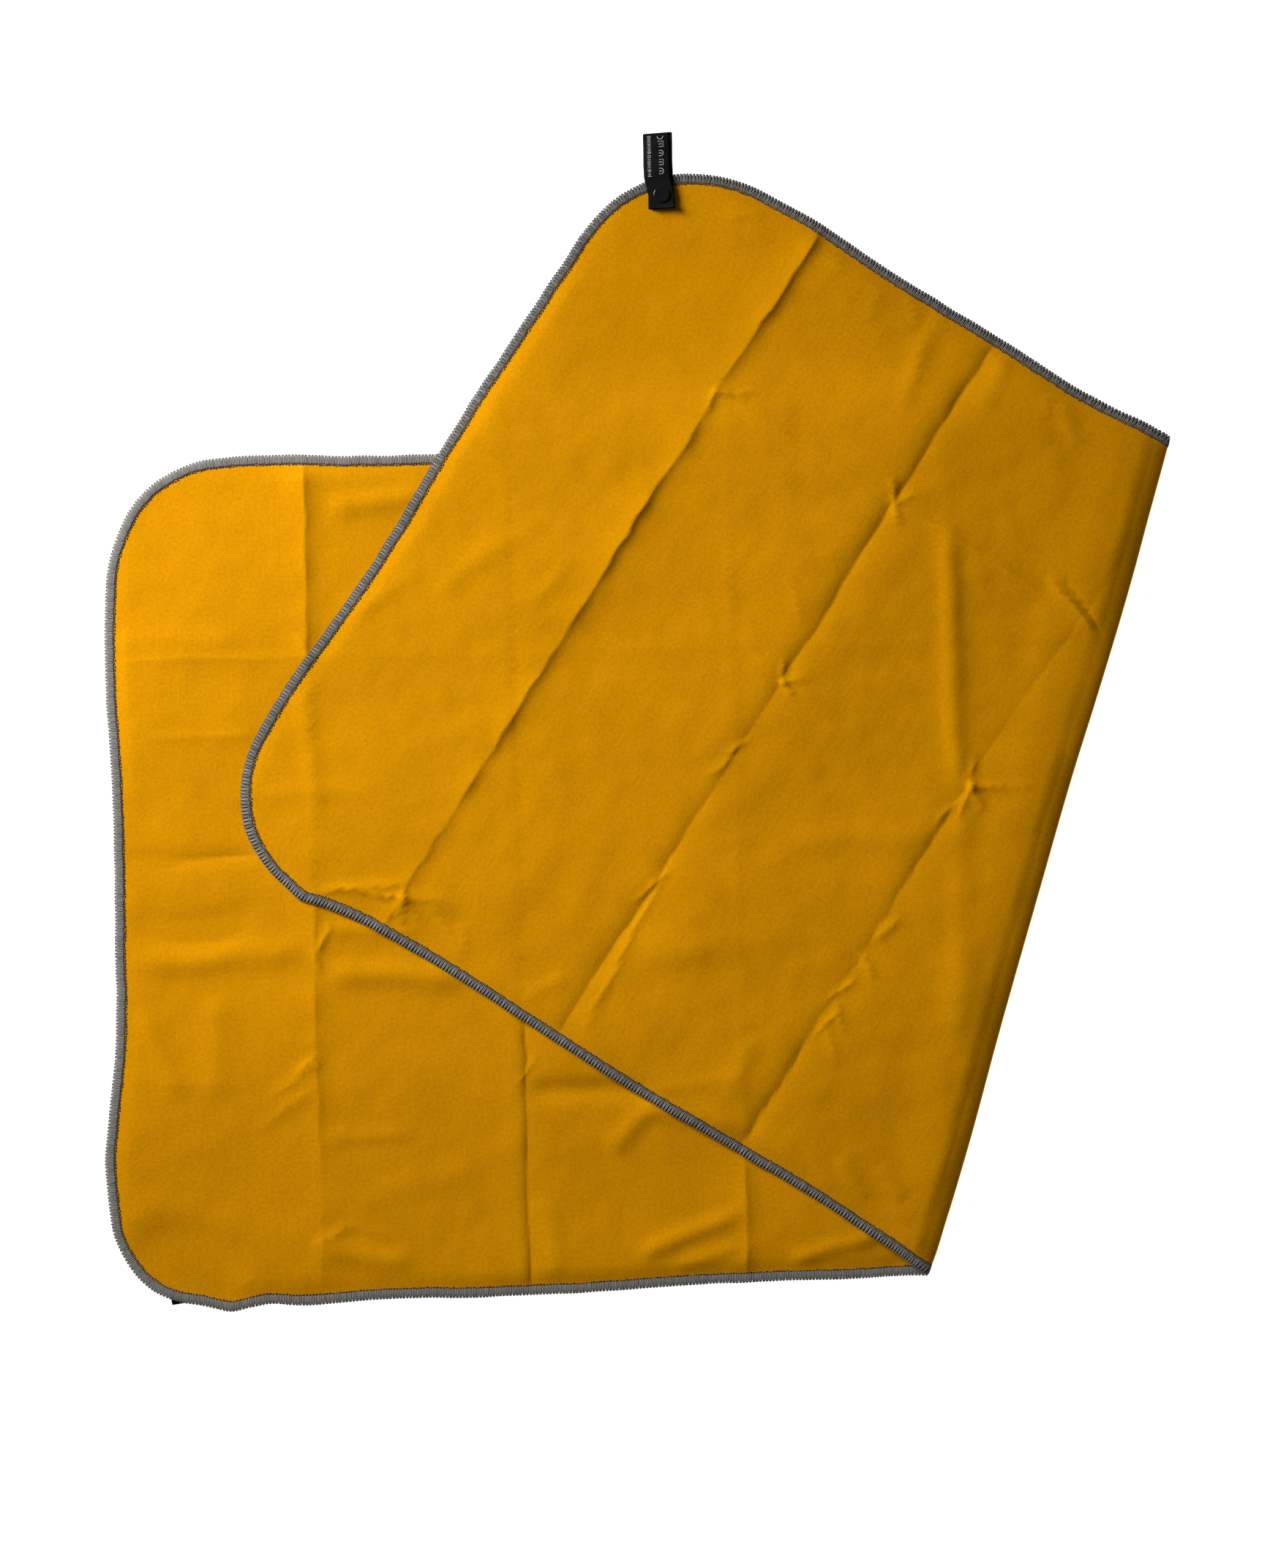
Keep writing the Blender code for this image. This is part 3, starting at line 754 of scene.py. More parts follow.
def laid_stitches(name, stitch, starts, lattice, material):
    """One stitch repeated at each start along the edge, laid on the cloth as one mesh."""
    shape, faces = stitch
    many = len(starts)
    jitter = np.random.RandomState(len(name) + many)
    size = 1 + 0.05 * jitter.uniform(-1, 1, (many, 1))
    slide = 0.1 * MM * jitter.uniform(-1, 1, (many, 1))
    along = starts[:, None] + slide + shape[None, :, 0]
    inset = np.where(shape[None, :, 1] > 1 * MM, shape[None, :, 1] * size, shape[None, :, 1])
    height = shape[None, :, 2] * size
    at, normal = on_lattice(lattice, along, inset)
    points = (at + normal * height[..., None]).reshape(-1, 3)
    offsets = (np.arange(many) * len(shape)).tolist()
    all_faces = [[i + offset for i in face] for offset in offsets for face in faces]
    uvs = np.stack((along.ravel(), np.broadcast_to(inset, along.shape).ravel()), axis=-1)
    piece = new_piece(name, points, all_faces, uvs)
    # The tone attribute is painted shade for the yarn's colour, a little uneven from stitch to stitch and
    # darker in a beat along the lower looper.
    painted_shades = piece.data.attributes.new("tone", "FLOAT", "POINT")
    beat = 0.5 + 0.5 * np.sin(np.arange(many) * 2.1)[:, None]
    uneven = 1 + 0.12 * jitter.uniform(-1, 1, (many, 1))
    if "lower" in name:
        uneven = uneven - 0.35 * beat
    painted_shades.data.foreach_set("value", (uneven * shape[None, :, 3]).ravel().astype(np.float32))
    piece.data.materials.append(material)
    return piece


def build_edging(material):
    """The three threads round the towel's edge, split where the base layer, the bend and the flap meet."""
    count = int(round(edge_length() / STITCH))
    starts = np.arange(count) * edge_length() / count
    u, v = edge_point(starts + STITCH / 2, starts * 0)
    across = (u - FOLD_U) * fold_out.x + v * fold_out.y
    before, after = across < -BEND_HALF - 3 * MM, across > BEND_HALF
    groups = {"base": before, "bend": ~before & ~after, "flap": after}
    kinds = {"upper": upper_looper_stitch(), "lower": lower_looper_stitch(), "needle": needle_stitch()}
    names = {"upper": "upper_looper_thread_", "lower": "lower_looper_thread_", "needle": "needle_stitches_"}
    made = {}
    lattice = edge_lattice()
    for kind, stitch in kinds.items():
        for part, chosen in groups.items():
            made[kind, part] = laid_stitches(names[kind] + part, stitch, starts[chosen], lattice, material)
    return made


# --- Finishes ---


def node(tree, kind, **inputs):
    """A shader node with its inputs filled: a socket is linked, and anything else is its value."""
    made = tree.nodes.new("ShaderNode" + kind)
    for key, value in inputs.items():
        fill(tree, made.inputs[key.replace("_", " ")], value)
    return made


def fill(tree, socket, value):
    """Links a socket to an input, or sets it."""
    if isinstance(value, bpy.types.NodeSocket):
        tree.links.new(value, socket)
    else:
        socket.default_value = value


def maths(tree, operation, first, second=0.0, third=0.0):
    """A field made from up to three fields or numbers."""
    made = tree.nodes.new("ShaderNodeMath")
    made.operation = operation
    for socket, value in zip(made.inputs, (first, second, third)):
        fill(tree, socket, value)
    return made.outputs[0]


def added(tree, first, first_share, second, second_share):
    """Two fields added up by their shares."""
    one = maths(tree, "MULTIPLY", first, first_share)
    return maths(tree, "ADD", one, maths(tree, "MULTIPLY", second, second_share))


def mixed(tree, share, first, second):
    """A colour between two, by a share from 0 to 1."""
    made = tree.nodes.new("ShaderNodeMix")
    made.data_type = "RGBA"
    fill(tree, made.inputs[0], share)
    for socket, colour in zip(made.inputs[6:8], (first, second)):
        fill(tree, socket, (*colour, 1) if isinstance(colour, tuple) else colour)
    return made.outputs[2]


def effect(name, inputs, outputs):
    """A new shader node group with named number or vector inputs and number outputs."""
    tree = bpy.data.node_groups.new(name, "ShaderNodeTree")
    for label, kind, value in inputs:
        socket = tree.interface.new_socket(label, in_out="INPUT", socket_type="NodeSocket" + kind)
        if kind == "Float":
            socket.default_value = value
    for label in outputs:
        tree.interface.new_socket(label, in_out="OUTPUT", socket_type="NodeSocketFloat")
    return tree, tree.nodes.new("NodeGroupInput"), tree.nodes.new("NodeGroupOutput")


def nap_effect():
    """Short fibres lying every way: fine specks and larger brushed patches, each about 0 to 1."""
    inputs = (("Place", "Vector", None), ("Fibre", "Float", 900.0), ("Patch", "Float", 40.0))
    tree, given, result = effect("fibre_nap", inputs, ("Specks", "Patches"))
    for scale, detail, roughness, field in (("Fibre", 3.0, 0.65, "Specks"), ("Patch", 4.0, 0.6, "Patches")):
        place, size = given.outputs["Place"], given.outputs[scale]
        noise = node(tree, "TexNoise", Vector=place, Scale=size, Detail=detail, Roughness=roughness)
        tree.links.new(noise.outputs[0], result.inputs[field])
    return tree


def ribs_effect():
    """Parallel threads across and along: one set of ribs, and its crossing with the other, each 0 to 1."""
    inputs = (("Place", "Vector", None), ("Across", "Float", 2500.0), ("Along", "Float", 2500.0))
    tree, given, result = effect("thread_ribs", inputs, ("Ribs", "Weave"))
    split = node(tree, "SeparateXYZ", Vector=given.outputs["Place"])
    waves = []
    for axis, way in enumerate(("Across", "Along")):
        turns = maths(tree, "MULTIPLY", split.outputs[axis], given.outputs[way])
        waves.append(maths(tree, "SINE", maths(tree, "MULTIPLY", turns, math.tau)))
    crossing = maths(tree, "MULTIPLY", *waves)
    tree.links.new(maths(tree, "MULTIPLY_ADD", waves[0], 0.5, 0.5), result.inputs["Ribs"])
    tree.links.new(maths(tree, "MULTIPLY_ADD", crossing, 0.5, 0.5), result.inputs["Weave"])
    return tree


EFFECTS = {"nap": nap_effect(), "ribs": ribs_effect()}


def placed_effect(tree, name, **inputs):
    """One of the shared effects, with its inputs filled."""
    group = tree.nodes.new("ShaderNodeGroup")
    group.node_tree = EFFECTS[name]
    for key, value in inputs.items():
        fill(tree, group.inputs[key], value)
    return group


def finish(name, roughness, specular=0.5):
    """A new material, its node tree and its shader."""
    material = bpy.data.materials.new(name)
    material.use_nodes = True
    shader = material.node_tree.nodes["Principled BSDF"]
    shader.inputs["Roughness"].default_value = roughness
    shader.inputs["Specular IOR Level"].default_value = specular
    return material, material.node_tree, shader


def cut_place(tree):
    """The piece's own (u, v) in metres."""
    return node(tree, "UVMap").outputs[0]


def bumped(tree, shader, height, strength, distance):
    """Bumps on a shader from a field."""
    bump = node(tree, "Bump", Height=height, Strength=strength, Distance=distance)
    tree.links.new(bump.outputs[0], shader.inputs["Normal"])


def suede_finish():
    """Brushed microfibre: saffron yellow, short nap and faint brushed streaks."""
    material, tree, shader = finish("cloth_suede", 0.95, 0.03)
    place = cut_place(tree)
    nap = placed_effect(tree, "nap", Place=place, Fibre=440.0, Patch=34.0)
    specks, patches = nap.outputs["Specks"], nap.outputs["Patches"]
    streaks = node(tree, "Mapping", Vector=place, Scale=(1.0, 0.35, 1.0)).outputs[0]
    brushed = node(tree, "TexNoise", Vector=streaks, Scale=160.0, Detail=3.0, Roughness=0.6).outputs[0]
    shade = mixed(tree, patches, (0.58, 0.207, 0.0002), (0.87, 0.338, 0.0004))
    fibre = mixed(tree, specks, (0.3, 0.094, 0.0001), (1.0, 0.47, 0.0006))
    colour = mixed(tree, 0.58, shade, fibre)
    soft = mixed(tree, maths(tree, "MULTIPLY", brushed, 0.3), colour, (0.86, 0.337, 0.0004))
    tree.links.new(soft, shader.inputs["Base Color"])
    bumped(tree, shader, added(tree, specks, 0.7, brushed, 0.8), 0.35, 0.5 * MM)
    shader.inputs["Sheen Weight"].default_value = 0.02
    shader.inputs["Sheen Roughness"].default_value = 0.6
    shader.inputs["Sheen Tint"].default_value = (0.9, 0.55, 0.12, 1)
    return material


def yarn_finish():
    """Textured grey overlock yarn: fine filaments along each strand, with painted shade darkening its
    hollows.
    """
    material, tree, shader = finish("edging_yarn", 0.88, 0.2)
    place = cut_place(tree)
    nap = placed_effect(tree, "nap", Place=place, Fibre=1500.0, Patch=110.0)
    ribs = placed_effect(tree, "ribs", Place=place, Across=3200.0, Along=420.0)
    tone = added(tree, nap.outputs["Specks"], 0.6, ribs.outputs["Ribs"], 0.4)
    colour = mixed(tree, tone, (0.2, 0.187, 0.17), (0.42, 0.392, 0.358))
    wear = maths(tree, "MULTIPLY", nap.outputs["Patches"], 0.4)
    worn = mixed(tree, wear, colour, (0.3, 0.285, 0.265))
    # Painted shade: the tone attribute takes the yarn down to near black at strand sides and ends, in the
    # band under the strands and on the needle stitches.
    depth = node(tree, "Attribute")
    depth.attribute_name = "tone"
    shaded = mixed(tree, depth.outputs["Fac"], (0.035, 0.032, 0.028), worn)
    tree.links.new(shaded, shader.inputs["Base Color"])
    bumped(tree, shader, tone, 0.5, 0.12 * MM)
    shader.inputs["Sheen Weight"].default_value = 0.1
    return material


def tape_finish():
    """Black woven satin tape with a fine cross rib."""
    material, tree, shader = finish("black_tape", 0.75, 0.12)
    place = cut_place(tree)
    ribs = placed_effect(tree, "ribs", Place=place, Across=1900.0, Along=2600.0)
    nap = placed_effect(tree, "nap", Place=place, Fibre=2400.0, Patch=180.0)
    tone = added(tree, ribs.outputs["Weave"], 0.6, nap.outputs["Specks"], 0.4)
    colour = mixed(tree, tone, (0.0022, 0.0022, 0.0024), (0.0085, 0.0085, 0.009))
    tree.links.new(colour, shader.inputs["Base Color"])
    gloss = maths(tree, "MULTIPLY_ADD", nap.outputs["Patches"], 0.2, 0.62)
    tree.links.new(gloss, shader.inputs["Roughness"])
    bumped(tree, shader, tone, 0.35, 0.06 * MM)
    return material


def nap_finish(name, surface, sizes, colours, field, bump=None):
    """A plain finish whose colour follows one field of the nap, and its bumps the specks."""
    material, tree, shader = finish(name, *surface)
    place = node(tree, "TexCoord").outputs["Object"]
    nap = placed_effect(tree, "nap", Place=place, Fibre=sizes[0], Patch=sizes[1])
    tree.links.new(mixed(tree, nap.outputs[field], *colours), shader.inputs["Base Color"])
    if bump:
        bumped(tree, shader, nap.outputs["Specks"], *bump)
    return material, tree, shader, nap


def moulded_finish():
    """Black moulded snap plastic, glossy, with a faint fine texture and softly rubbed highs."""
    colours = (0.004, 0.004, 0.0045), (0.011, 0.011, 0.012)
    material, tree, shader, nap = nap_finish(
        "snap_moulding", (0.2, 0.5), (3200.0, 420.0), colours, "Patches", (0.08, 0.05 * MM)
    )
    gloss = maths(tree, "MULTIPLY_ADD", nap.outputs["Patches"], 0.16, 0.1)
    tree.links.new(gloss, shader.inputs["Roughness"])
    return material


def tack_finish():
    """Black sewing thread of the bar tacks."""
    colours = (0.006, 0.006, 0.007), (0.03, 0.03, 0.032)
    return nap_finish("tack_yarn", (0.7, 0.3), (2600.0, 300.0), colours, "Specks", (0.4, 0.08 * MM))[0]


def print_finish():
    """Off-white print, thin over the tape's ribs."""
    colours = (0.3, 0.29, 0.27), (0.8, 0.78, 0.74)
    return nap_finish("tape_print", (0.7, 0.3), (2600.0, 700.0), colours, "Patches", (0.2, 0.03 * MM))[0]


def table_finish():
    """A plain pale table top, lit from within so that it stays even."""
    colours = (0.93, 0.93, 0.93), (0.96, 0.96, 0.96)
    material, _, shader, _ = nap_finish("pale_table", (0.9, 0.1), (30.0, 2.0), colours, "Patches")
    shader.inputs["Emission Color"].default_value = (1, 1, 1, 1)
    shader.inputs["Emission Strength"].default_value = 0.93
    return material


# --- Hang loops ---


def tape_piece(name, place, path, sideways, lift, material):
    """A strip of tape in a loop's frame. path holds (y, z) of its middle; sideways moves it across by y."""
    path = np.array(path, float)
    lengths = np.concatenate(([0], np.cumsum(np.linalg.norm(np.diff(path, axis=0), axis=1))))
    ways = np.gradient(path, axis=0)
    ways /= np.linalg.norm(ways, axis=1, keepdims=True)
    half_shares = (0.2, 0.4, 0.6, 0.8, 0.93, 0.985, 1)
    shares = np.array([-share for share in reversed(half_shares)] + [0, *half_shares])
    thin = np.array([0.25, 0.75, *[1] * 11, 0.75, 0.25])
    points, uvs = [], []
    for side in (1, -1):
        for (y, z), (way_y, way_z), length in zip(path, ways, lengths):
            for share, full in zip(shares, thin):
                half = side * full * TAPE / 2
                x = share * TAPE_WIDTH / 2 + sideways(y, z)
                rise = lift(share, y, z)
                points.append((x, y - way_z * half, z + way_y * half + rise))
                uvs.append((share * TAPE_WIDTH / 2, length))
    return loop_piece(name, place, points, shell_faces(len(path), len(shares)), material, uvs)


def outward(piece):
    """Turns a closed piece's faces outwards, by its own enclosed volume."""
    shell = bmesh.new()
    shell.from_mesh(piece.data)
    if shell.calc_volume(signed=True) < 0:
        bmesh.ops.reverse_faces(shell, faces=shell.faces)
        shell.to_mesh(piece.data)
    shell.free()


def loop_piece(name, place, points, faces, material, uvs=None, shade=True):
    """A closed mesh given in a loop's frame, as a piece in its place."""
    piece = new_piece(name, points, faces, uvs, shade)
    piece.data.transform(place)
    piece.data.materials.append(material)
    outward(piece)
    return piece


def steps(start, end, many):
    """Evenly spaced numbers from start to end."""
    return [start + (end - start) * i / (many - 1) for i in range(many)]


def curved(y0, z0, y1, z1, many):
    """Points from one (y, z) to another that leave and arrive level."""
    made = []
    for t in steps(0, 1, many):
        made.append((y0 + (y1 - y0) * t, z0 + (z1 - z0) * float(smooth(t))))
    return made


def bend_points(y, low, high, many=9):
    """The tape's half turn from one height to another, out past y."""
    middle, radius = (low + high) / 2, (high - low) / 2
    made = []
    for t in steps(-90, 90, many):
        angle = math.radians(t)
        made.append((y + abs(radius) * math.cos(angle), middle + radius * math.sin(angle)))
    return made


def set_down(piece, place):
    """Fixes a modelled piece's place into its mesh, in the model's frame."""
    piece.data.transform(place @ piece.matrix_world)
    piece.matrix_world = Matrix.Identity(4)


def pick_faces(piece, chosen):
    """Selects the faces whose normal passes, in edit mode."""
    bpy.ops.object.mode_set(mode="EDIT")
    bpy.ops.mesh.select_mode(type="FACE")
    bpy.ops.mesh.select_all(action="DESELECT")
    bpy.ops.object.mode_set(mode="OBJECT")
    for face in piece.data.polygons:
        face.select = chosen(face.normal)
    bpy.ops.object.mode_set(mode="EDIT")


def rounded(piece, width, angle=30, segments=3):
    """Bevels the active piece's sharp edges and shades it smooth between them."""
    bevel = piece.modifiers.new("edges", "BEVEL")
    bevel.width = width
    bevel.segments = segments
    bevel.limit_method = "ANGLE"
    bevel.angle_limit = math.radians(angle)
    bpy.ops.object.modifier_apply(modifier=bevel.name)
    bpy.ops.object.shade_smooth_by_angle(angle=math.radians(40))


def disc(name, radius, low, high, material, segments=56):
    """A round blank, standing on the loop frame's Z."""
    bpy.ops.object.select_all(action="DESELECT")
    bpy.ops.mesh.primitive_cylinder_add(
        vertices=segments, radius=radius, depth=high - low, location=(0, 0, (low + high) / 2)
    )
    piece = bpy.context.active_object
    piece.name = name
    piece.data.materials.append(material)
    bpy.ops.object.transform_apply(location=True)
    return piece


def top_faces(normal):
    return normal.z > 0.9


def bottom_faces(normal):
    return normal.z < -0.9


def shape_end(piece, chosen, moves):
    """Insets an end face and moves it, once for each (inset, rise)."""
    pick_faces(piece, chosen)
    for inset, rise in moves:
        if inset:
            bpy.ops.mesh.inset(thickness=inset, depth=0)
        if rise:
            bpy.ops.transform.translate(value=(0, 0, rise))
    bpy.ops.object.mode_set(mode="OBJECT")


def cap_piece(name, level, radius, height, material):
    """The snap's cap: a rolled rim round a shallow dish, and the post that goes down into the socket."""
    cap = disc(name, radius, level, level + height * 0.72, material)
    dish = ((0.7, 0.28), (0.55, -0.1), (0.9, -0.16), (2.0, -0.04))
    shape_end(cap, top_faces, [(inset * MM, height * rise) for inset, rise in dish])
    shape_end(cap, bottom_faces, ((radius - POST, -1.0 * MM),))
    rounded(cap, 0.22 * MM, 25)
    return cap


def socket_piece(name, low, high, radius, material):
    """The socket under the free leg, with the knob's hollow in its mouth."""
    socket = disc(name, radius, low, high, material)
    mouth = ((0.7 * MM, 0), (0.5 * MM, 0.18 * MM), (radius - 3.5 * MM, 0), (0.02 * MM, 0.75 * (high - low)))
    shape_end(socket, bottom_faces, mouth)
    shape_end(socket, top_faces, ((0.5 * MM, 0.0),))
    rounded(socket, 0.15 * MM, 35)
    return socket


def stud_piece(name, low, flange, knob, radius, material):
    """The stud: a flat flange and the waisted knob that snaps into the socket."""
    stud = disc(name, radius, low, low + flange, material)
    flange_steps = ((0.6 * MM, 0.08 * MM), (radius - 2.5 * MM, -0.08 * MM))
    knob_steps = ((0, 0.45), (-0.22, 0.2), (0.12, 0.25), (0.5, 0.1))
    shape_end(stud, top_faces, (*flange_steps, *((inset * MM, knob * rise) for inset, rise in knob_steps)))
    rounded(stud, 0.08 * MM, 30, 2)
    return stud


def rivet_piece(name, low, head, radius, post, material):
    """The rivet under the sewn leg: a domed head, and its post up through the leg into the stud."""
    rivet = disc(name, radius, low, low + head, material)
    shape_end(rivet, top_faces, ((radius - POST, post),))
    rounded(rivet, 0.1 * MM, 30, 2)
    return rivet


def tack_piece(name, place, at_y, over, wide, long, material):
    """A bar tack: close leaning stitches across the tape."""
    many = 30
    end, near = long / 2 / MM, long / 2.4 / MM
    path = ((-end, 0, -0.12), (-near, 0, 0.12), (0, 0, 0.2), (near, 0, 0.12), (end, 0, -0.12))
    points, faces = strand(path, 0.26, 0.13)
    x, y, z = points[:, :3].T
    lean = 0.45 * wide / many / long
    parts = []
    for i in range(many):
        at_x = -wide / 2 + wide * (i + 0.5) / many
        parts.append((np.stack((y + at_x + x * lean, x + at_y, z + over), axis=-1), faces))
    return loop_piece(name, place, *joined(parts), material)


def mark_strokes():
    """Plain outlines and short dashes printed along the tape, each as a line of (x, y) in millimetres."""
    marks = []
    right = 3.1
    for i, y in enumerate((16.8, 23.3, 29.9, 36.5, 42.2)):
        if i % 2 == 0:
            angles = [math.tau * k / 20 for k in range(21)]
            ring = [(right + 2.1 * math.cos(angle), y + 2.1 * math.sin(angle)) for angle in angles]
            marks.append(ring if y < 42 else ring[10:21])
        else:
            square = ((-2.1, -2), (2.1, -2), (2.1, 2), (-2.1, 2), (-2.1, -2))
            marks.append([(right + dx, y + dy) for dx, dy in square])
        if i < 4:
            marks.append([(right - 1.1, y), (right + 1.1, y)])
    beat = np.random.RandomState(12)
    y = 13.6
    while y < 43:
        step = beat.uniform(0.9, 1.5)
        reach = beat.uniform(0.9, 1.45)
        marks.append([(-4.9 - reach, y), (-4.9 + reach, y + beat.uniform(-0.35, 0.35))])
        y += step
    return marks


def print_piece(name, place, surface, sideways, material):
    """The marks as thin raised print that follows the free leg."""
    parts = []
    for line in mark_strokes():
        line = np.array(line) * MM
        way = np.gradient(line, axis=0)
        way /= np.linalg.norm(way, axis=1, keepdims=True)
        out = np.stack((-way[:, 1], way[:, 0]), axis=-1) * 0.2 * MM
        left, right = line + out, line - out
        many = len(line)
        points = []
        for z in (0.03 * MM, -0.03 * MM):
            for row in (left, right):
                points += [(x + sideways(y, 0), y, surface(y) + TAPE / 2 + z) for x, y in row]
        faces = []
        for i in range(many - 1):
            a, b, c, d = i, i + many, i + 2 * many, i + 3 * many
            faces += [(a, b, b + 1, a + 1), (c, c + 1, d + 1, d), (a, a + 1, c + 1, c), (b, d, d + 1, b + 1)]
        faces += [(0, 2 * many, 3 * many, many), (many - 1, 2 * many - 1, 4 * many - 1, 3 * many - 1)]
        parts.append((np.array(points), faces))
    return loop_piece(name, place, *joined(parts), material, shade=False)


def loop_levels(name, place):
    """Heights and middles of a loop's parts in its own frame, read from the fixed model."""
    turn = place.inverted()

    def levels(part):
        low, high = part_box(name + "_" + part)
        return sorted(((turn @ low).z, (turn @ high).z))

    def middle(part):
        low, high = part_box(name + "_" + part)
        return (turn @ ((low + high) / 2)).y

    return levels, middle


def window(y, start, rise, end, fall):
    """1 between two places along the tape, softly to 0 outside them, all in millimetres."""
    return float(smooth((y - start * MM) / (rise * MM))) * (1 - float(smooth((y - end * MM) / (fall * MM))))


def slide(stops):
    """How far the tape strays sideways by its place along the loop, from stops in millimetres."""
    places = [y * MM for y, _ in stops]
    shifts = [x * MM for _, x in stops]
    return lambda y, z: float(np.interp(y, places, shifts))


def ride_for(piece, body, node_name):
    """Fixes a piece to a body, in place of one node of the model."""
    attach(piece, body)
    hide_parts(node_name)


def build_loop(name, place, joint, fixed_body, finishes):
    """One hang loop: tape, bar tack, stud with its rivet, socket with its cap."""
    tape, moulded, tack = finishes["tape"], finishes["moulded"], finishes["tack"]
    levels, middle = loop_levels(name, place)
    swinging = name + "_tab"
    turn_y, turn_z = level_in(place, joint)
    sewn = sum(levels("sewn_leg")) / 2
    start = 2 * turn_z - sewn
    snap_y = middle("cap")
    snap_leg = levels("cap")[1] - CAP - CLEAR - TAPE / 2
    shut = snap_y > -1 * MM
    front = slide(FREE_SLIDE if shut else STRAIGHT)
    rear = slide(SEWN_SLIDE if shut else STRAIGHT)
    sewn_path = [(y, sewn) for y in steps(-TAB_END, turn_y, 60 if shut else 30)]
    free_path = [(y, snap_leg) for y in steps(snap_y - TAB_END, snap_y + 6.2 * MM, 16)]
    free_path += curved(snap_y + 6.5 * MM, snap_leg, turn_y, start, 44 if shut else 50)

    def turn_slide(y, z):
        share = (z - sewn) / (start - sewn)
        return rear(turn_y, z) * (1 - share) + front(turn_y, z) * share

    def sewn_lift(share, y, z):
        return -1.1 * MM * window(y, 13, 14, 30, 13) * max(share - 0.55, 0) / 0.45 if shut else 0.0

    def free_lift(share, y, z):
        if not shut:
            return 0.0
        tail = float(smooth((snap_y - 5.5 * MM - y) / (6 * MM)))
        lifted = tail * (0.5 + 2.4 * max(share, 0) ** 1.5) * MM
        return lifted + 0.9 * MM * window(y, 8, 10, 34, 9) * (1 - share * share)

    def no_lift(share, y, z):
        return 0.0

    turn_path = bend_points(turn_y, sewn, start)
    sewn_leg = tape_piece(name + "_tape_sewn", place, sewn_path, rear, sewn_lift, tape)
    turn = tape_piece(name + "_tape_turn", place, turn_path, turn_slide, no_lift, tape)
    free_leg = tape_piece(name + "_tape_free", place, free_path, front, free_lift, tape)
    ride_for(sewn_leg, fixed_body, name + "_sewn_leg")
    ride_for(free_leg, swinging, name + "_free_leg")
    turn_low, turn_high = place @ Vector((0, turn_y, sewn)), place @ Vector((0, turn_y, start))
    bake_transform(turn)
    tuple(turn_low)
    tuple(turn_high)

    tack_y, tack_low = middle("bar_tack"), levels("bar_tack")[0]
    bar = tack_piece(name + "_tack", place, tack_y, tack_low, 14 * MM, 2.4 * MM, tack)
    ride_for(bar, fixed_body, name + "_bar_tack")

    stud_low, knob_top = levels("stud")
    knob = knob_top - stud_low - FLANGE
    cap_low = snap_leg + TAPE / 2 + CLEAR
    rivet = rivet_piece(name + "_rivet", levels("stud_rivet")[0], FLANGE, SNAP_RADIUS, 1.0 * MM, moulded)
    stud = stud_piece(name + "_stud_top", stud_low, FLANGE, knob, SNAP_RADIUS, moulded)
    socket = socket_piece(name + "_socket_ring", *levels("socket"), SNAP_RADIUS, moulded)
    cap = cap_piece(name + "_snap_cap", cap_low, CAP_RADIUS, CAP, moulded)
    at_snap = place @ Matrix.Translation((0, snap_y, 0))
    for piece, where, body, stands_for in (
        (rivet, place, fixed_body, "_stud_rivet"),
        (stud, place, fixed_body, "_stud"),
        (socket, at_snap, swinging, "_socket"),
        (cap, at_snap, swinging, "_cap"),
    ):
        set_down(piece, where)
        ride_for(piece, body, name + stands_for)
    if shut:
        path = np.array(free_path)

        def surface(y):
            return float(np.interp(y, path[:, 0], path[:, 1])) + free_lift(0.3, y, 0)

        marks = print_piece(name + "_print", place, surface, front, finishes["print"])
        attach(marks, swinging)


# --- The studio ---

VIEW_CENTRE = (-0.00402, -0.05133)
VIEW_TALL = 1.1299
VIEW_ROLL = math.radians(-1.451)
CAMERA_HEIGHT = 3.0


def build_camera():
    """A long lens straight above the towel."""
    data = bpy.data.cameras.new("camera")
    data.sensor_width = 36
    data.lens = 36 * CAMERA_HEIGHT / VIEW_TALL
    camera = bpy.data.objects.new("camera", data)
    camera.location = (*VIEW_CENTRE, CAMERA_HEIGHT)
    camera.rotation_euler = (0, 0, VIEW_ROLL)
    bpy.context.scene.collection.objects.link(camera)
    bpy.context.scene.camera = camera


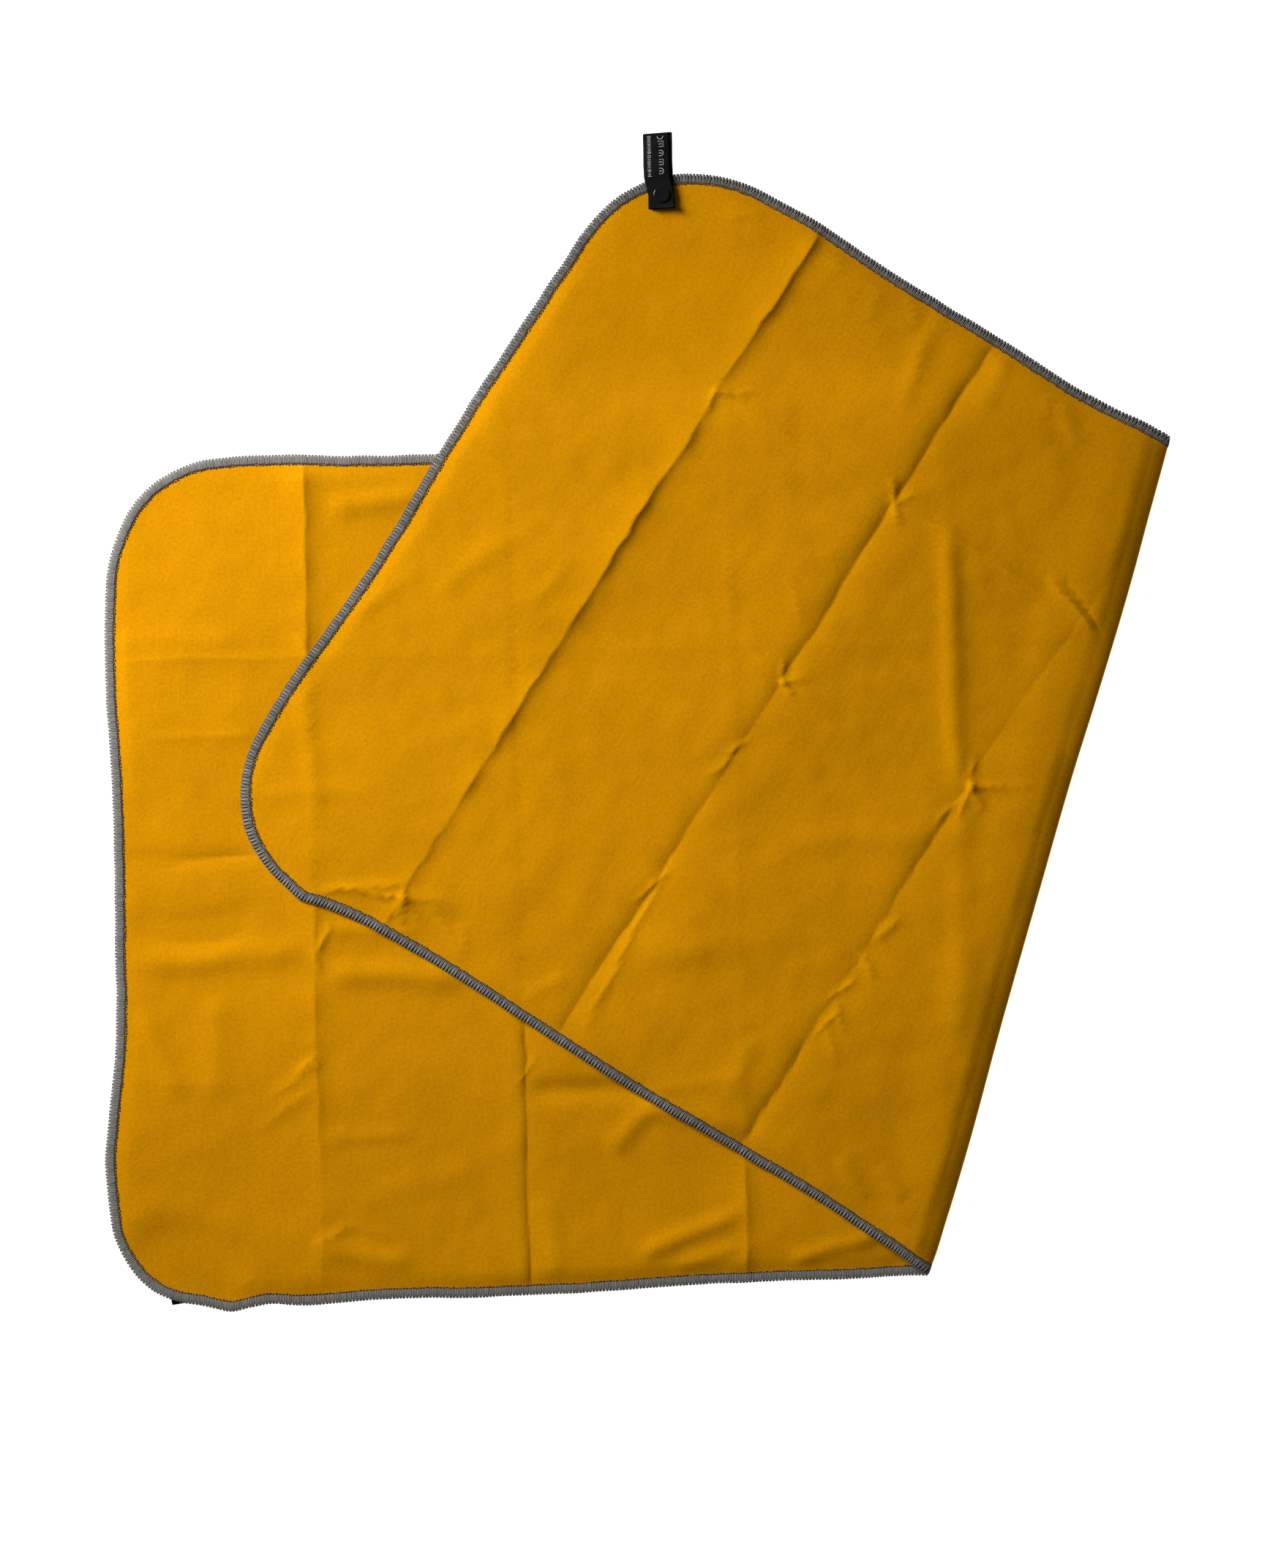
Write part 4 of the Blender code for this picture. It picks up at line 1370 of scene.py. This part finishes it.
def soft_light(name, place, target, wide, tall, power, spread):
    """A rectangular light at a place, turned to a target."""
    data = bpy.data.lights.new(name, "AREA")
    data.shape = "RECTANGLE"
    data.size = wide
    data.size_y = tall
    data.spread = spread
    data.energy = power
    light = bpy.data.objects.new(name, data)
    light.location = place
    light.rotation_euler = (Vector(target) - Vector(place)).to_track_quat("-Z", "Y").to_euler()
    bpy.context.scene.collection.objects.link(light)


def build_studio(table_material):
    """A pale table under a large window light and a low fill card."""
    bpy.ops.object.select_all(action="DESELECT")
    bpy.ops.mesh.primitive_plane_add(size=14, location=(0, 0, 0))
    floor = bpy.context.active_object
    floor.name = "table_top"
    floor.data.materials.append(table_material)
    world = bpy.data.worlds.new("studio")
    world.use_nodes = True
    world.node_tree.nodes["Background"].inputs[0].default_value = (1, 1, 1, 1)
    world.node_tree.nodes["Background"].inputs[1].default_value = 0.06
    bpy.context.scene.world = world
    soft_light("window", (-1.3, 0.9, 0.82), (0.0, -0.11, 0), 0.8, 0.8, 10.4, math.radians(76))
    soft_light("card", (-0.7, -1.6, 0.45), (0, 0.1, 0), 1.0, 0.3, 0.5, math.radians(180))
    bpy.context.scene.view_settings.view_transform = "Standard"


# --- The whole towel ---


def main():
    """The whole towel, each visible piece on its body but the bend's pieces and the loops' turns, which stay
    in the model's frame.
    """
    build_camera()
    finishes = {
        "tape": tape_finish(),
        "moulded": moulded_finish(),
        "tack": tack_finish(),
        "print": print_finish(),
    }
    base, bend, flap = build_cloth(suede_finish())
    edging = build_edging(yarn_finish())

    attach(base, "towel_base")
    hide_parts("cloth_base")
    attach(flap, "towel_flap")
    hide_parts("cloth_flap")
    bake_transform(bend)
    looper = {"upper": "upper_looper_", "lower": "lower_looper_", "needle": "needle_thread_"}
    for (kind, part), threads in edging.items():
        if part == "bend":
            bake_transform(threads)
        else:
            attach(threads, "towel_" + part)
            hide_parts(looper[kind] + part)
    for piece in (flap, *(edging[kind, "flap"] for kind in looper)):
        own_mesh(piece)

    build_loop("loop_1", LOOP_1, "loop_1_unsnap", "towel_flap", finishes)
    build_loop("loop_2", LOOP_2, "loop_2_swing_out", "towel_base", finishes)
    build_studio(table_finish())


main()
